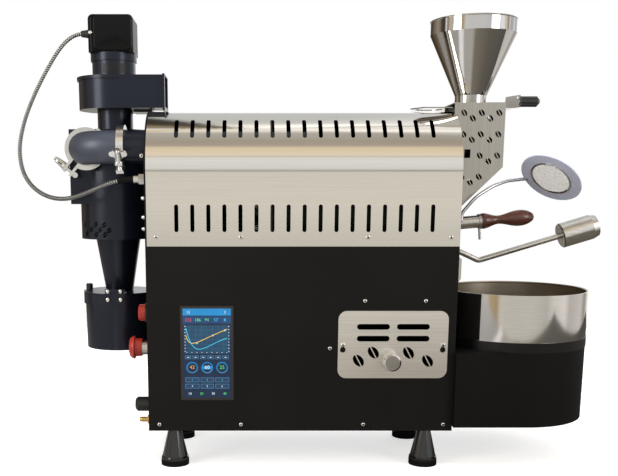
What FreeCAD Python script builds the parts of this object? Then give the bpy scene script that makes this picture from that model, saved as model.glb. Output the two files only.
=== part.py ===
"""Home coffee bean roaster: a gas drum roaster with hopper, cooling tray, cyclone and blower.

Millimetres. While it is built, X runs from the rear panel (0) to the front, Y = 0 is the cabinet's
middle plane with the operator's side at -Y, and Z = 0 is the table top. place_on_origin then moves
everything so that the origin is the middle of the whole roaster's footprint.
"""
import FreeCAD, Part
import math
import os

V = FreeCAD.Vector

# ---------------------------------------------------------------- driving dimensions
# cabinet
CAB_LENGTH = 543.0
CAB_WIDTH = 240.0
CAB_BOTTOM = 70.0
SEAM_Z = 399.0            # joint between black side panels and stainless cover
SPRING_Z = 524.0          # where the cover's straight side turns into its shoulder
TOP_FLAT = 22.0           # flat between the cover's two shoulders
SHOULDER_R = (CAB_WIDTH - TOP_FLAT) / 2
SHEET = 2.0
REAR_PLATE_T = 3.0
FRONT_PLATE_T = 6.0
FLANGE_H = 24.0           # upturned edge of the floor pan
STRIP_H = 45.0            # backing strip that joins panel and cover
# cover slots
SLOT_COUNT = 17
SLOT_FIRST_X = 54.5
SLOT_PITCH = 27.5
SLOT_W = 7.0
SIDE_SLOT_L = 47.0
SIDE_SLOT_Z = 447.0
ARCH_SLOT_L = 44.0
ARCH_SLOT_ANGLE = 46.0    # degrees from the vertical
# feet
FOOT_INSET_X = 44.0
FOOT_INSET_Y = 30.0
FOOT_TOP_D = 22.0
FOOT_BOTTOM_D = 50.0
PAD_D = 51.0
PAD_H = 10.0
# round-headed fasteners and cap nuts
SCREW_HEAD_D = 7.6
SCREW_HEAD_H = 2.6
SCREW_SHANK_D = 4.0
SCREW_LENGTH = 7.0
BOTTOM_SCREW_Z = 82.0
COVER_SCREW_Z = 415.0
SCREW_COLUMNS = (19.0, 165.0, CAB_LENGTH - 159.0, CAB_LENGTH - 16.0)
NUT_D = 9.0
# touch screen
SCREEN_X = 105.4
SCREEN_Z = 211.3
SCREEN_W = 94.0
SCREEN_H = 169.0
SCREEN_LIP = 1.5
GLASS_MARGIN = 3.0
GLASS_T = 2.0
SCREEN_DEPTH = 24.0
# access plate over the burner window
ACCESS_INSET = 110.5      # middle of the plate from the front edge
ACCESS_X = CAB_LENGTH - ACCESS_INSET
ACCESS_Z = 227.0
ACCESS_W = 193.0
ACCESS_H = 120.0
ACCESS_T = 2.0
ACCESS_CORNER_R = 15.0
ACCESS_SLOT_L = 57.5
ACCESS_SLOT_H = 10.0
ACCESS_SLOT_ROWS = (32.0, 11.0)
ACCESS_SLOT_COLUMN = 35.0
BEAN_L = 24.0
BEAN_W = 16.5
BEAN_BRIDGE = 2.0
BEAN_PLACES = ((-60.0, -28.5), (-34.0, -14.0), (28.0, -14.5), (62.0, -29.0))
KEYHOLE_X = 88.0
KEYHOLE_D = 10.0
KEYHOLE_SLOT_W = 5.0
KEYHOLE_LIFT = 9.0
WINDOW_W = 150.0
WINDOW_H = 92.0
KNOB_X = -4.5
KNOB_Z = -27.0
KNOB_D = 31.0
KNOB_REACH = 30.0
# drum, its housing and drive
DRUM_Z = 480.0
DRUM_R = 90.0
DRUM_WALL = 2.0
DRUM_REAR_X = 226.0
DRUM_END_GAP = 3.0
FLIGHT_H = 14.0
FLIGHT_T = 2.5
FLIGHT_COUNT = 4
SPIDER_X = 405.0
SHAFT_R = 8.0
RUN_FIT = 0.05
BEARING_R = 20.0
BEARING_W = 10.0
HOUSING_R = 98.0
BULKHEAD_X = 215.0
BULKHEAD_T = 4.0
BULKHEAD_BOTTOM = 300.0
GEAR_MODULE = 2.0
DRUM_TEETH = 60
PINION_TEETH = 20
GEAR_W = 10.0
GEAR_X = 190.0
GEAR_BACKLASH = 0.35
MOTOR_D = 62.0
MOTOR_L = 92.0
MOTOR_SHAFT_R = 5.0
# burner and gas line
BURNER_TUBE_D = 22.0
BURNER_SPREAD = 70.0
BURNER_TUBE_L = 190.0
BURNER_FRONT_GAP = 23.0
BURNER_FRONT_X = CAB_LENGTH - BURNER_FRONT_GAP
BURNER_REAR_X = BURNER_FRONT_X - BURNER_TUBE_L
CROSSBAR_XS = (BURNER_FRONT_X - 138.0, BURNER_FRONT_X - 32.0)
CROSSBAR_Z = 304.5
CROSSBAR_H = 14.0
CROSSBAR_T = 10.0
GAS_PIPE_D = 10.0
GAS_PIPE_TURN_X = BURNER_REAR_X - 30.0
GAS_INLET_Y = -88.0
GAS_INLET_Z = 83.0
NIPPLE_D = 9.0
NIPPLE_BORE_D = 6.0
NIPPLE_REACH = 20.0
NIPPLE_TIP = 4.0
GAS_HEX_T = 5.0
GAS_HEX = 14.0
# hopper, gate and chute
HOPPER_REACH = 37.0       # hopper axis in front of the front plate
HOPPER_X = CAB_LENGTH + HOPPER_REACH
HOPPER_RIM_Z = 790.0
HOPPER_RIM_D = 153.0
HOPPER_BAND_H = 25.0
HOPPER_CONE_H = 104.0
NECK_D = 57.0
HOPPER_WALL = 1.5
CHUTE_TOP_Z = 647.0
CHUTE_LENGTH = 90.0
CHUTE_WIDTH = 80.0
CHUTE_FRONT_H = 112.0
CHUTE_FOOT_Z = 447.0
CHUTE_SHEET = 2.0
CHUTE_BEAN_L = 13.0
CHUTE_BEAN_W = 9.0
CHUTE_BEAN_PITCH_X = 31.0
CHUTE_BEAN_PITCH_Z = 37.0
GATE_Z = 638.0
GATE_T = 2.0
GATE_W = 62.0
GATE_REAR_L = 108.0       # blade behind and in front of the hopper axis
GATE_FRONT_L = 72.0
GATE_REAR_X = HOPPER_X - GATE_REAR_L
GATE_FRONT_X = HOPPER_X + GATE_FRONT_L
GATE_TRAVEL = 75.0
GATE_GAP = 0.3
GATE_PORT_D = 48.0
TAG_H = 22.0
TAG_T = 2.0
GRIP_L = 34.0
GRIP_D = 19.0
FEED_Z = 542.0
FEED_D = 50.0
# tryer
TRYER_Y = -30.0
TRYER_Z = 434.0
TRYER_TILT = 5.0
TRYER_SLEEVE_D = 23.0
TRYER_SLEEVE_L = 53.0
TRYER_BORE_D = 18.0
TRYER_SCOOP_L = 130.0
TRYER_FIT = 0.08
TRYER_DISC_D = 27.0
TRYER_DISC_T = 5.0
TRYER_PIN_D = 5.0
TRYER_PIN_L = 33.0
TRYER_HANDLE_L = 98.0
TRYER_TRAVEL = 140.0
TRYER_SLEEVE_TAIL = 30.0    # sleeve length behind the front face of the plate
# sight glass
SIGHT_Y = 66.0
SIGHT_Z = 481.0
SIGHT_D = 34.0
SIGHT_RING_W = 5.0
SIGHT_RING_H = 7.0
SIGHT_GLASS_T = 5.0
# discharge door, its weighted lever and the spout
DOOR_Y = 16.0
DOOR_W = 50.0
DOOR_TOP_Z = 424.0
DOOR_BOTTOM_Z = 390.0
DOOR_T = 5.0
DOOR_OVERLAP = 4.0
DOOR_PIVOT_X = 10.0        # ahead of the front plate
DOOR_PIVOT_Z = 434.0
DOOR_SHAFT_R = 4.0
DOOR_OPEN = 55.0
LEVER_Y = 58.0
LEVER_D = 11.0
LEVER_EYE_W = 12.0
LEVER_POINTS = ((10.0, 434.0), (13.0, 392.0), (81.0, 361.0), (236.0, 408.0))
WEIGHT_D = 48.0
WEIGHT_L = 74.0
WEIGHT_DOME = 15.0
SPOUT_REACH = 31.0
SPOUT_TOP_Z = 387.0
SPOUT_LIP_Z = 369.0
SPOUT_BOTTOM_Z = 323.0
SPOUT_W = 60.0
SPOUT_SHEET = 2.0
# lamp
LAMP_BASE = (0.0, -54.0, 441.0)      # on the front plate
LAMP_SOCKET_D = 14.0
LAMP_SOCKET_L = 10.0
LAMP_NECK_D = 6.0
LAMP_NECK = (
    (17.0, -54.0, 441.0), (17.0, -54.0, 454.0), (41.0, -54.0, 483.0), (71.0, -46.0, 501.0),
    (100.0, -34.0, 511.0), (151.0, -16.0, 516.0),
)
LAMP_BENDS = (20.0, 60.0, 80.0, 100.0)
LAMP_PEG_R = 4.0
LAMP_PEG_L = 5.0
LAMP_BOSS_R = 7.0
LAMP_D = 112.0
LAMP_LENS_D = 70.0
LAMP_T = 14.0
LAMP_LENS_T = 3.0
LAMP_CENTRE = (170.0, -60.0, 515.0)
LAMP_FACING = (-0.56, -0.41, -0.72)
# cooling tray and its base
TRAY_R = 132.0
TRAY_GAP = 2.0
TRAY_RIM_Z = 314.0
TRAY_BOTTOM_Z = 231.0
TRAY_WALL = 1.5
TRAY_BEAD_D = 4.0
TRAY_FLOOR_Z = 243.0
TRAY_FLOOR_T = 2.0
TRAY_HOLE_D = 5.0
TRAY_HOLE_RINGS = (40.0, 56.0, 72.0, 88.0, 104.0, 120.0)
TRAY_HOLE_PITCH = 17.0
TRAY_HUB_HOLE_D = 24.0
TRAY_LIFT = 8.0
COLLAR_H = 18.0
COLLAR_W = 14.0
BASE_BOTTOM_Z = 79.0
BASE_SHEET = 2.0
BASE_PORT_D = 216.0
STIRRER_MOTOR_D = 60.0
STIRRER_MOTOR_H = 70.0
STIRRER_SHAFT_R = 5.0
STIRRER_HUB_D = 30.0
STIRRER_HUB_H = 34.0
STIRRER_REACH = 119.0
STIRRER_ARM_D = 8.0
COUPLING_R = 18.0          # facing discs of the drive, parted when the tray is lifted
COUPLING_T = 3.0
COUPLING_GAP = 1.0
FAN_D = 86.0
FAN_FRAME = 92.0
FAN_H = 30.0
FAN_OFFSET = 74.0
FAN_HUB_D = 34.0
FAN_BLADES = 7
# smoke duct
PIPE_Z = 568.0
PIPE_D = 57.0
PIPE_SIDE_GAP = 19.5      # pipe to the plane of the side panel
PIPE_Y = PIPE_SIDE_GAP + PIPE_D / 2 - CAB_WIDTH / 2
PIPE_WALL = 1.5
ELBOW_X = -115.5
ELBOW_R = 50.0
FERRULE_L = 10.0
ELBOW_LEAD_L = 23.5         # straight run of the elbow on the pipe side
FERRULE_D = 62.0
FERRULE_T = 3.0
CLAMP_D = 76.0
CLAMP_W = 12.4
CLAMP_EAR_R = 49.0
CLAMP_BOLT_D = 7.0
PIPE_CLAMP_ANGLE = 40.0
ELBOW_CLAMP_ANGLE = 40.0
WING_SPAN = 30.0
# cyclone, chaff bin and blower share one vertical axis
BIN_LID_D = 138.0
LID_WALL_GAP = 3.0        # between the lid and the rear panel
CYC_X = -(BIN_LID_D / 2 + LID_WALL_GAP)
CYC_Y = 63.0
CYC_R = 69.0
CYC_TOP_Z = 604.0
CYC_BOTTOM_Z = 404.0
CYC_WALL = 2.0
CYC_CONE_TOP_D = 85.0
CYC_CONE_BOTTOM_D = 52.0
CYC_CONE_BOTTOM_Z = 303.0
INLET_BOX_X = -150.0
INLET_BOX_W = 69.0
INLET_BOX_H = 135.0
INLET_STUB_L = 18.0
OUTLET_D = 66.0
OUTLET_DIP = 90.0
CYC_BEAN_L = 12.0
CYC_BEAN_W = 7.0
BIN_LID_Z = 303.0
BIN_LID_H = 23.0
BIN_D = 132.0
BIN_BOTTOM_D = 130.0
BIN_BOTTOM_Z = 194.5
BIN_WALL = 1.5
BIN_DROP = 90.0
BIN_KNOB_OFFSET = BIN_LID_D / 2 - 10.0
BIN_KNOB_D = 13.0
BIN_KNOB_H = 13.0
BLOWER_BOTTOM_Z = 641.0
BLOWER_H = 58.0
BLOWER_LEG_H = 36.0
BLOWER_R = 66.0
BLOWER_LIP = 3.0
BLOWER_LIP_H = 6.0
BLOWER_WALL = 2.0
BLOWER_MOUTH_X = 28.0
BLOWER_MOUTH_W = 58.0
BLOWER_FLANGE_T = 4.0
IMPELLER_R = 46.0
IMPELLER_H = 36.0
IMPELLER_BLADES = 10
BLOWER_MOTOR_D = 80.0
BLOWER_MOTOR_H = 29.0
MOTOR_RING_D = 85.0
MOTOR_RING_H = 14.0
MOTOR_SHAFT_R_TOP = 6.0
TERMINAL_BOX = 82.0
TERMINAL_H = 66.0
TERMINAL_CORNER_R = 9.0
# controls and glands on the rear panel
SWITCH_Y = -60.0
ESTOP_Z = 211.5
ESTOP_HEAD_D = 42.0
ESTOP_HEAD_REACH = 39.0
ESTOP_TRAVEL = 5.0
COLLAR_D = 27.0
START_Z = 275.5
START_D = 24.0
START_BEZEL_D = 35.0
START_BEZEL_T = 8.0
START_TRAVEL = 3.0
POWER_GLAND_Z = 105.0
POWER_GLAND_D = 31.0
POWER_GLAND_L = 30.0
POWER_BORE_D = 10.0
CONDUIT_EDGE = 16.0       # gland axis to the plane of the side panel
CONDUIT_Y = CONDUIT_EDGE - CAB_WIDTH / 2
CONDUIT_Z = 513.0
CONDUIT_D = 8.0
HEX_ACROSS = 17.0
HEX_L = 19.0
TERMINAL_GLAND_Z = 779.0
TERMINAL_GLAND_D = 17.0
TERMINAL_GLAND_L = 18.0
CONDUIT_POINTS = (
    (-145.0, 63.0, 777.5), (-170.0, 62.0, 757.0), (-199.0, 58.0, 711.0), (-223.0, 51.0, 664.0),
    (-240.0, 43.0, 619.0), (-248.0, 34.0, 577.0), (-245.0, 24.0, 546.0), (-235.0, 12.0, 519.0),
    (-214.0, -4.0, 496.0), (-184.0, -22.0, 481.0), (-149.0, -43.0, 478.0), (-114.0, -64.0, 487.0),
    (-80.0, -86.0, 500.0), (-47.0, -103.0, 511.5),
)
# sizes that follow from the ones above
ESTOP_STEM_R = 8.0
EAR_T = 6.0
EAR_HALF = 8.0
EAR_YS = (DOOR_Y - DOOR_W / 2 - 3 - EAR_T, DOOR_Y + DOOR_W / 2 + 3)
DOOR_PORT_W = DOOR_W - 2 * DOOR_OVERLAP
DOOR_PORT_H = DOOR_TOP_Z - DOOR_BOTTOM_Z - DOOR_OVERLAP
DOOR_PORT_Z = (DOOR_TOP_Z + DOOR_BOTTOM_Z + DOOR_OVERLAP) / 2
SIGHT_SEAT = 5.0
SCREEN_BODY_W = SCREEN_W - 4.0
SCREEN_BODY_H = SCREEN_H - 4.0
VENT_COUNT = 8
VENT_X = 70.0
VENT_Z = 200.0
NUT_PLACES = ((-110.0, 552.0), (-104.0, 481.0), (-104.0, 448.5), (-104.0, 428.5),
              (104.0, 481.0), (104.0, 448.5), (104.0, 428.5))
SMOKE_PORT_X = 232.0
SMOKE_PORT_L = 46.0
GRIP_Z = GATE_Z + 14.0
CHUTE_SLOPE = (CHUTE_TOP_Z - CHUTE_FRONT_H - CHUTE_FOOT_Z) / CHUTE_LENGTH
TRAY_X = CAB_LENGTH + TRAY_GAP + TRAY_R
FAN_X = TRAY_X + FAN_OFFSET
FAN_MOTOR_H = 7.0
FAN_PIN_R = 2.0
STIRRER_BODY_Z = 124.0
STIRRER_NOSE_H = 12.0
STIRRER_SHAFT_FOOT = STIRRER_BODY_Z + STIRRER_MOTOR_H + STIRRER_NOSE_H + COUPLING_T + COUPLING_GAP
ELBOW_END_Y = PIPE_Y + ELBOW_R + FERRULE_L
ELBOW_START_X = ELBOW_X + ELBOW_R + ELBOW_LEAD_L
BLOWER_TOP_Z = BLOWER_BOTTOM_Z + BLOWER_H
TERMINAL_Z = BLOWER_TOP_Z + BLOWER_MOTOR_H + MOTOR_RING_H
CYC_BEANS = (
    (-28.0, 28.0), (-14.0, 27.0), (-38.0, 18.0), (-21.0, 18.0), (-6.0, 17.0), (-28.0, 9.0), (-13.0, 9.0),
    (-55.0, 26.0), (-50.0, 10.0),
)
KNOB_STEM_R = 3.0
BLOWER_FLANGE_EDGE = 7.0
FLANGE_HOLE_Y = 65.0
FLANGE_HOLE_Z = 58.0
FLANGE_HOLE_R = 1.6
ESTOP_COLLAR_T = 15.4
ESTOP_BODY_R = 16.0
ESTOP_FLANGE_H = 10.2       # crown and flange in front of the tapered body
SWITCH_STEM_R = 6.0
START_CAP_D = 30.0
START_FIT = 0.3
START_REACH = 20.5
CLEAR = 0.5               # gap round a piece that passes through a sheet
FAR = 400.0               # longer than anything it cuts
NEAR_Y = -CAB_WIDTH / 2
FRONT_X = CAB_LENGTH


# ---------------------------------------------------------------- shape helpers
def block(x, y, z):
    """Box between pairs of limits."""
    return Part.makeBox(x[1] - x[0], y[1] - y[0], z[1] - z[0], V(x[0], y[0], z[0]))


def rod(start, direction, radius, length):
    return Part.makeCylinder(radius, length, V(*start), V(*direction))


def tube(start, direction, outer, inner, length):
    return rod(start, direction, outer, length).cut(rod(start, direction, inner, length))


def cone(start, direction, r_start, r_end, length):
    if abs(r_start - r_end) < 1e-6:
        return rod(start, direction, r_start, length)
    return Part.makeCone(r_start, r_end, length, V(*start), V(*direction))


def fuse(shapes):
    shapes = list(shapes)
    if len(shapes) == 1:
        return shapes[0]
    return shapes[0].fuse(shapes[1:]).removeSplitter()


def polygon(points):
    return Part.Face(Part.makePolygon([V(*p) for p in points] + [V(*points[0])]))


def plate_y(outline, y0, y1):
    """Flat plate parallel to the XZ plane from (x, z) corners."""
    return polygon([(x, y0, z) for x, z in outline]).extrude(V(0, y1 - y0, 0))


def rounded_plate_y(x, z, width, height, radius, y0, y1):
    """Rectangle with round corners, centred on x, z, between two Y planes."""
    plate = block((x - width / 2, x + width / 2), (y0, y1), (z - height / 2, z + height / 2))
    upright = [e for e in plate.Edges if abs(e.tangentAt(e.FirstParameter).y) > 0.99]
    return plate.makeFillet(radius, upright)


def slot_y(x, z, length, width, y0, y1, upright=False):
    """Round-ended slot through Y."""
    half = (length - width) / 2
    reach = (0, half) if upright else (half, 0)
    ends = [rod((x + s * reach[0], y0, z + s * reach[1]), (0, 1, 0), width / 2, y1 - y0) for s in (-1, 1)]
    size = (width, length - width) if upright else (length - width, width)
    middle = block((x - size[0] / 2, x + size[0] / 2), (y0, y1), (z - size[1] / 2, z + size[1] / 2))
    return fuse(ends + [middle])


def bean_cut(length, width, bridge, depth):
    """Coffee-bean opening: two half ovals either side of a slanting bridge, cut along +Y."""
    oval = Part.makeCylinder(width / 2, depth, V(0, -depth / 2, 0), V(0, 1, 0))
    stretch = FreeCAD.Matrix()
    stretch.scale(length / width, 1, 1)
    oval = oval.transformGeometry(stretch)
    web = block((-length, length), (-depth, depth), (-bridge / 2, bridge / 2))
    web.rotate(V(), V(0, 1, 0), 12)
    return oval.cut(web)


def placed_bean(bean, x, y, z, tilt):
    copy = bean.copy()
    copy.rotate(V(), V(0, 1, 0), tilt)
    copy.translate(V(x, y, z))
    return copy


def oriented(shape, origin, x_axis, y_axis, z_axis):
    """Carry a shape from its own axes to the given right-handed axes."""
    columns = [V(*x_axis), V(*y_axis), V(*z_axis)]
    turn = FreeCAD.Matrix(
        columns[0].x, columns[1].x, columns[2].x, origin[0],
        columns[0].y, columns[1].y, columns[2].y, origin[1],
        columns[0].z, columns[1].z, columns[2].z, origin[2],
        0, 0, 0, 1,
    )
    moved = shape.copy()
    moved.Placement = FreeCAD.Placement(turn).multiply(moved.Placement)
    return moved


def rounded_rod(points, radius, bend):
    """Bar of round section along straight runs joined by tangent arcs."""
    points = [V(*p) for p in points]
    bends = bend if isinstance(bend, (list, tuple)) else [bend] * (len(points) - 2)
    edges, start = [], points[0]
    for before, corner, after, arc_r in zip(points, points[1:], points[2:], bends):
        into, out = (corner - before).normalize(), (after - corner).normalize()
        turn = into.getAngle(out)
        back = arc_r * math.tan(turn / 2)
        arc_start, arc_end = corner - into * back, corner + out * back
        inward = (out - into).normalize()
        middle = corner + inward * (arc_r / math.cos(turn / 2) - arc_r)
        edges.append(Part.LineSegment(start, arc_start).toShape())
        edges.append(Part.Arc(arc_start, middle, arc_end).toShape())
        start = arc_end
    edges.append(Part.LineSegment(start, points[-1]).toShape())
    path = Part.Wire(edges)
    section = Part.Wire([Part.Circle(points[0], (points[1] - points[0]).normalize(), radius).toShape()])
    return path.makePipeShell([section], True, True), path


def revolved(profile, origin, axis=(0, 0, 1), side=(1, 0, 0)):
    """Solid of revolution from (radius, height) corners about an axis through origin."""
    origin, axis, side = V(*origin), V(*axis), V(*side)
    corners = [tuple(origin + side * r + axis * h) for r, h in profile]
    return polygon(corners).revolve(origin, axis, 360)


def gear(teeth, module, width, start, bore, turned=0.0):
    """Spur gear about +X with straight-sided teeth, thinned for backlash."""
    pitch_r = teeth * module / 2
    root_r, tip_r = pitch_r - 1.25 * module, pitch_r + 0.95 * module
    thick = math.pi * module / 2 - GEAR_BACKLASH
    widths = ((root_r, thick + 0.95 * module), (pitch_r, thick), (tip_r, thick - 0.75 * module))
    points = []
    for i in range(teeth):
        middle = math.radians(turned) + 2 * math.pi * i / teeth
        for radius, across in widths:
            points.append((radius, middle - across / 2 / radius))
        for radius, across in reversed(widths):
            points.append((radius, middle + across / 2 / radius))
    outline = [(start[0], start[1] + r * math.cos(a), start[2] + r * math.sin(a)) for r, a in points]
    wheel = polygon(outline).extrude(V(width, 0, 0))
    return wheel.cut(rod(start, (1, 0, 0), bore, width))


def cabinet_outline(inset, x0, x1, bottom=CAB_BOTTOM):
    """Cabinet section (flat sides and rounded shoulders) as a solid between two X planes."""
    half = CAB_WIDTH / 2 - inset
    radius = SHOULDER_R - inset
    shoulder_y = CAB_WIDTH / 2 - SHOULDER_R
    top = SPRING_Z + radius
    diagonal = radius * math.sqrt(0.5)
    corners = [V(x0, -half, bottom), V(x0, -half, SPRING_Z), V(x0, -shoulder_y, top),
               V(x0, shoulder_y, top), V(x0, half, SPRING_Z), V(x0, half, bottom)]
    left = V(x0, -shoulder_y - diagonal, SPRING_Z + diagonal)
    right = V(x0, shoulder_y + diagonal, SPRING_Z + diagonal)
    edges = [
        Part.LineSegment(corners[0], corners[1]).toShape(),
        Part.Arc(corners[1], left, corners[2]).toShape(),
        Part.LineSegment(corners[2], corners[3]).toShape(),
        Part.Arc(corners[3], right, corners[4]).toShape(),
        Part.LineSegment(corners[4], corners[5]).toShape(),
        Part.LineSegment(corners[5], corners[0]).toShape(),
    ]
    return Part.Face(Part.Wire(edges)).extrude(V(x1 - x0, 0, 0))


# ---------------------------------------------------------------- cabinet
def rear_panel():
    plate = cabinet_outline(0, 0, REAR_PLATE_T)
    holes = [
        rod((-1, PIPE_Y, PIPE_Z), (1, 0, 0), PIPE_D / 2, FAR),
        rod((-1, SWITCH_Y, ESTOP_Z), (1, 0, 0), ESTOP_STEM_R + CLEAR, FAR),
        rod((-1, SWITCH_Y, START_Z), (1, 0, 0), START_D / 2 - 2, FAR),
        rod((-1, SWITCH_Y, POWER_GLAND_Z), (1, 0, 0), POWER_BORE_D / 2, FAR),
        rod((-1, CONDUIT_Y, CONDUIT_Z), (1, 0, 0), CONDUIT_D / 2, FAR),
        rod((-1, GAS_INLET_Y, GAS_INLET_Z), (1, 0, 0), GAS_PIPE_D / 2, FAR),
    ]
    return plate.cut(holes)


def front_plate():
    """Thick face of the drum: feed port, bearing seat, sight glass ring, tryer and discharge openings."""
    inner = FRONT_X - FRONT_PLATE_T
    plate = cabinet_outline(SHEET, inner, FRONT_X, CAB_BOTTOM + SHEET)
    ring = rod((FRONT_X, SIGHT_Y, SIGHT_Z), (1, 0, 0), SIGHT_D / 2 + SIGHT_RING_W, SIGHT_RING_H)
    hinge_ears = [
        block((FRONT_X, FRONT_X + DOOR_PIVOT_X + EAR_HALF), (y, y + EAR_T),
              (DOOR_PIVOT_Z - EAR_HALF, DOOR_PIVOT_Z + EAR_HALF))
        for y in EAR_YS
    ]
    plate = fuse([plate, ring] + hinge_ears)
    door_port = rounded_plate_x(inner - 1, FRONT_X + 1, DOOR_Y, DOOR_PORT_Z, DOOR_PORT_W, DOOR_PORT_H, 6)
    holes = [
        door_port,
        rod((inner - 1, 0, FEED_Z), (1, 0, 0), FEED_D / 2, FAR),
        rod((inner - 1, 0, DRUM_Z), (1, 0, 0), SHAFT_R + 1, FRONT_PLATE_T + 2),
        rod((inner - 1, SIGHT_Y, SIGHT_Z), (1, 0, 0), SIGHT_D / 2 - SIGHT_SEAT, FAR),
        rod((FRONT_X + SIGHT_RING_H - SIGHT_GLASS_T, SIGHT_Y, SIGHT_Z), (1, 0, 0), SIGHT_D / 2, FAR),
        rod((FRONT_X + DOOR_PIVOT_X, -FAR / 2, DOOR_PIVOT_Z), (0, 1, 0), DOOR_SHAFT_R + RUN_FIT, FAR),
        tilted(rod((-TRYER_SLEEVE_TAIL, 0, 0), (1, 0, 0), TRYER_SLEEVE_D / 2,
                   TRYER_SLEEVE_TAIL + TRYER_SLEEVE_L)),
        rod((FRONT_X - LAMP_PEG_L, *LAMP_BASE[1:]), (1, 0, 0), LAMP_PEG_R + RUN_FIT, FAR),
    ]
    return plate.cut(holes)


def rounded_plate_x(x0, x1, y, z, width, height, radius):
    plate = block((x0, x1), (y - width / 2, y + width / 2), (z - height / 2, z + height / 2))
    along = [e for e in plate.Edges if abs(e.tangentAt(e.FirstParameter).x) > 0.99]
    return plate.makeFillet(radius, along)


def tilted(shape):
    """Carry a shape drawn along +X at the origin onto the tryer's rising axis."""
    moved = shape.copy()
    moved.rotate(V(), V(0, 1, 0), -TRYER_TILT)
    moved.translate(V(FRONT_X, TRYER_Y, TRYER_Z))
    return moved


def side_panels():
    """Two black sheets, each with the welded strip that the cover screws to."""
    panels = []
    for side in (-1, 1):
        outer, inner = side * CAB_WIDTH / 2, side * (CAB_WIDTH / 2 - SHEET)
        strip = side * (CAB_WIDTH / 2 - 2 * SHEET)
        sheet = block((REAR_PLATE_T, FRONT_X), sorted((outer, inner)), (CAB_BOTTOM, SEAM_Z))
        strip_z = (SEAM_Z - STRIP_H / 2, SEAM_Z + STRIP_H / 2)
        runs = ((REAR_PLATE_T, BULKHEAD_X), (BULKHEAD_X + BULKHEAD_T, FRONT_X - FRONT_PLATE_T))
        panel = fuse([sheet] + [block(run, sorted((strip, inner)), strip_z) for run in runs])
        panels.append(panel)
    near, far = panels
    y0, y1 = NEAR_Y - 1, NEAR_Y + SHEET + 1
    near = near.cut([
        rounded_plate_y(SCREEN_X, SCREEN_Z, SCREEN_BODY_W + 2 * CLEAR, SCREEN_BODY_H + 2 * CLEAR, 2, y0, y1),
        rounded_plate_y(ACCESS_X, ACCESS_Z, WINDOW_W, WINDOW_H, 6, y0, y1),
    ])
    vents = [
        slot_y(VENT_X + i * SLOT_PITCH, VENT_Z, SIDE_SLOT_L, SLOT_W, -y1, -y0, upright=True)
        for i in range(VENT_COUNT)
    ]
    return [near.cut(panel_screw_holes(-1)), far.cut(vents + panel_screw_holes(1))]


def screw_places(side):
    """(x, z) of the round-headed screws on one side of the cabinet."""
    rows = [(x, z) for z in (BOTTOM_SCREW_Z, COVER_SCREW_Z) for x in SCREW_COLUMNS]
    burner = [(x, CROSSBAR_Z) for x in CROSSBAR_XS]
    keyhole = [(ACCESS_X + s * KEYHOLE_X, ACCESS_Z) for s in (-1, 1)]
    loose = [(322.0, 220.5)]
    return rows + burner + (keyhole + loose if side < 0 else [])


def panel_screw_holes(side):
    y = side * (CAB_WIDTH / 2 + 1)
    return [rod((x, y, z), (0, -side, 0), SCREW_SHANK_D / 2, SCREW_LENGTH + 1) for x, z in screw_places(side)]


def floor_pan():
    half = CAB_WIDTH / 2 - SHEET
    x = (REAR_PLATE_T, FRONT_X - FRONT_PLATE_T)
    base = block(x, (-half, half), (CAB_BOTTOM, CAB_BOTTOM + SHEET))
    z = (CAB_BOTTOM, CAB_BOTTOM + FLANGE_H)
    edges = [block(x, sorted((s * half, s * (half - SHEET))), z) for s in (-1, 1)]
    lip = block((FRONT_X - FRONT_PLATE_T, FRONT_X), (-half, half), (CAB_BOTTOM, CAB_BOTTOM + SHEET))
    holes = []
    for side in (-1, 1):
        holes += panel_screw_holes(side)
    return fuse([base, lip] + edges).cut(holes)


def drum_cover():
    """Stainless inverted U with two rows of cooling slots on each side."""
    x = (REAR_PLATE_T, FRONT_X)
    outer = cabinet_outline(0, x[0], x[1], SEAM_Z)
    inner = cabinet_outline(SHEET, x[0] - 1, x[1] + 1, SEAM_Z - 1)
    shell = outer.cut(inner)
    columns = [SLOT_FIRST_X + i * SLOT_PITCH for i in range(SLOT_COUNT)]
    side_slots = [
        slot_y(column, SIDE_SLOT_Z, SIDE_SLOT_L, SLOT_W, -CAB_WIDTH, CAB_WIDTH, upright=True)
        for column in columns
    ]
    arch_slots = []
    for side in (-1, 1):
        for column in columns:
            tool = slot_y(0, 0, ARCH_SLOT_L, SLOT_W, -6 * SHEET, 6 * SHEET, upright=True)
            tool.translate(V(0, side * SHOULDER_R, 0))
            tool.rotate(V(), V(1, 0, 0), side * (90 - ARCH_SLOT_ANGLE))
            tool.translate(V(column, side * (CAB_WIDTH / 2 - SHOULDER_R), SPRING_Z))
            arch_slots.append(tool)
    holes = panel_screw_holes(-1) + panel_screw_holes(1)
    return shell.cut(side_slots + arch_slots + holes)


def panel_fasteners():
    """Round-headed screws on both sides and the cap nuts on the rear panel."""
    pieces = []
    for side in (-1, 1):
        for x, z in screw_places(side):
            stand = ACCESS_T if z == ACCESS_Z else 0.0
            y = side * (CAB_WIDTH / 2 + stand)
            head = rod((x, y, z), (0, side, 0), SCREW_HEAD_D / 2, SCREW_HEAD_H)
            rim = [e for e in head.Edges if abs(e.CenterOfMass.y - y - side * SCREW_HEAD_H) < 0.01]
            head = head.makeFillet(SCREW_HEAD_H * 0.6, rim)
            shank = rod((x, y, z), (0, -side, 0), SCREW_SHANK_D / 2, SCREW_LENGTH + stand)
            pieces.append(fuse([head, shank]))
    for y, z in NUT_PLACES:
        nut = rod((-NUT_D * 0.45, y, z), (1, 0, 0), NUT_D / 2, NUT_D * 0.45)
        dome = Part.makeSphere(NUT_D * 0.38, V(-NUT_D * 0.45, y, z))
        pieces.append(fuse([nut, dome]))
    return pieces


def feet_places():
    half = CAB_WIDTH / 2 - FOOT_INSET_Y
    return [(x, y) for x in (FOOT_INSET_X, CAB_LENGTH - FOOT_INSET_X) for y in (-half, half)]


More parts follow.
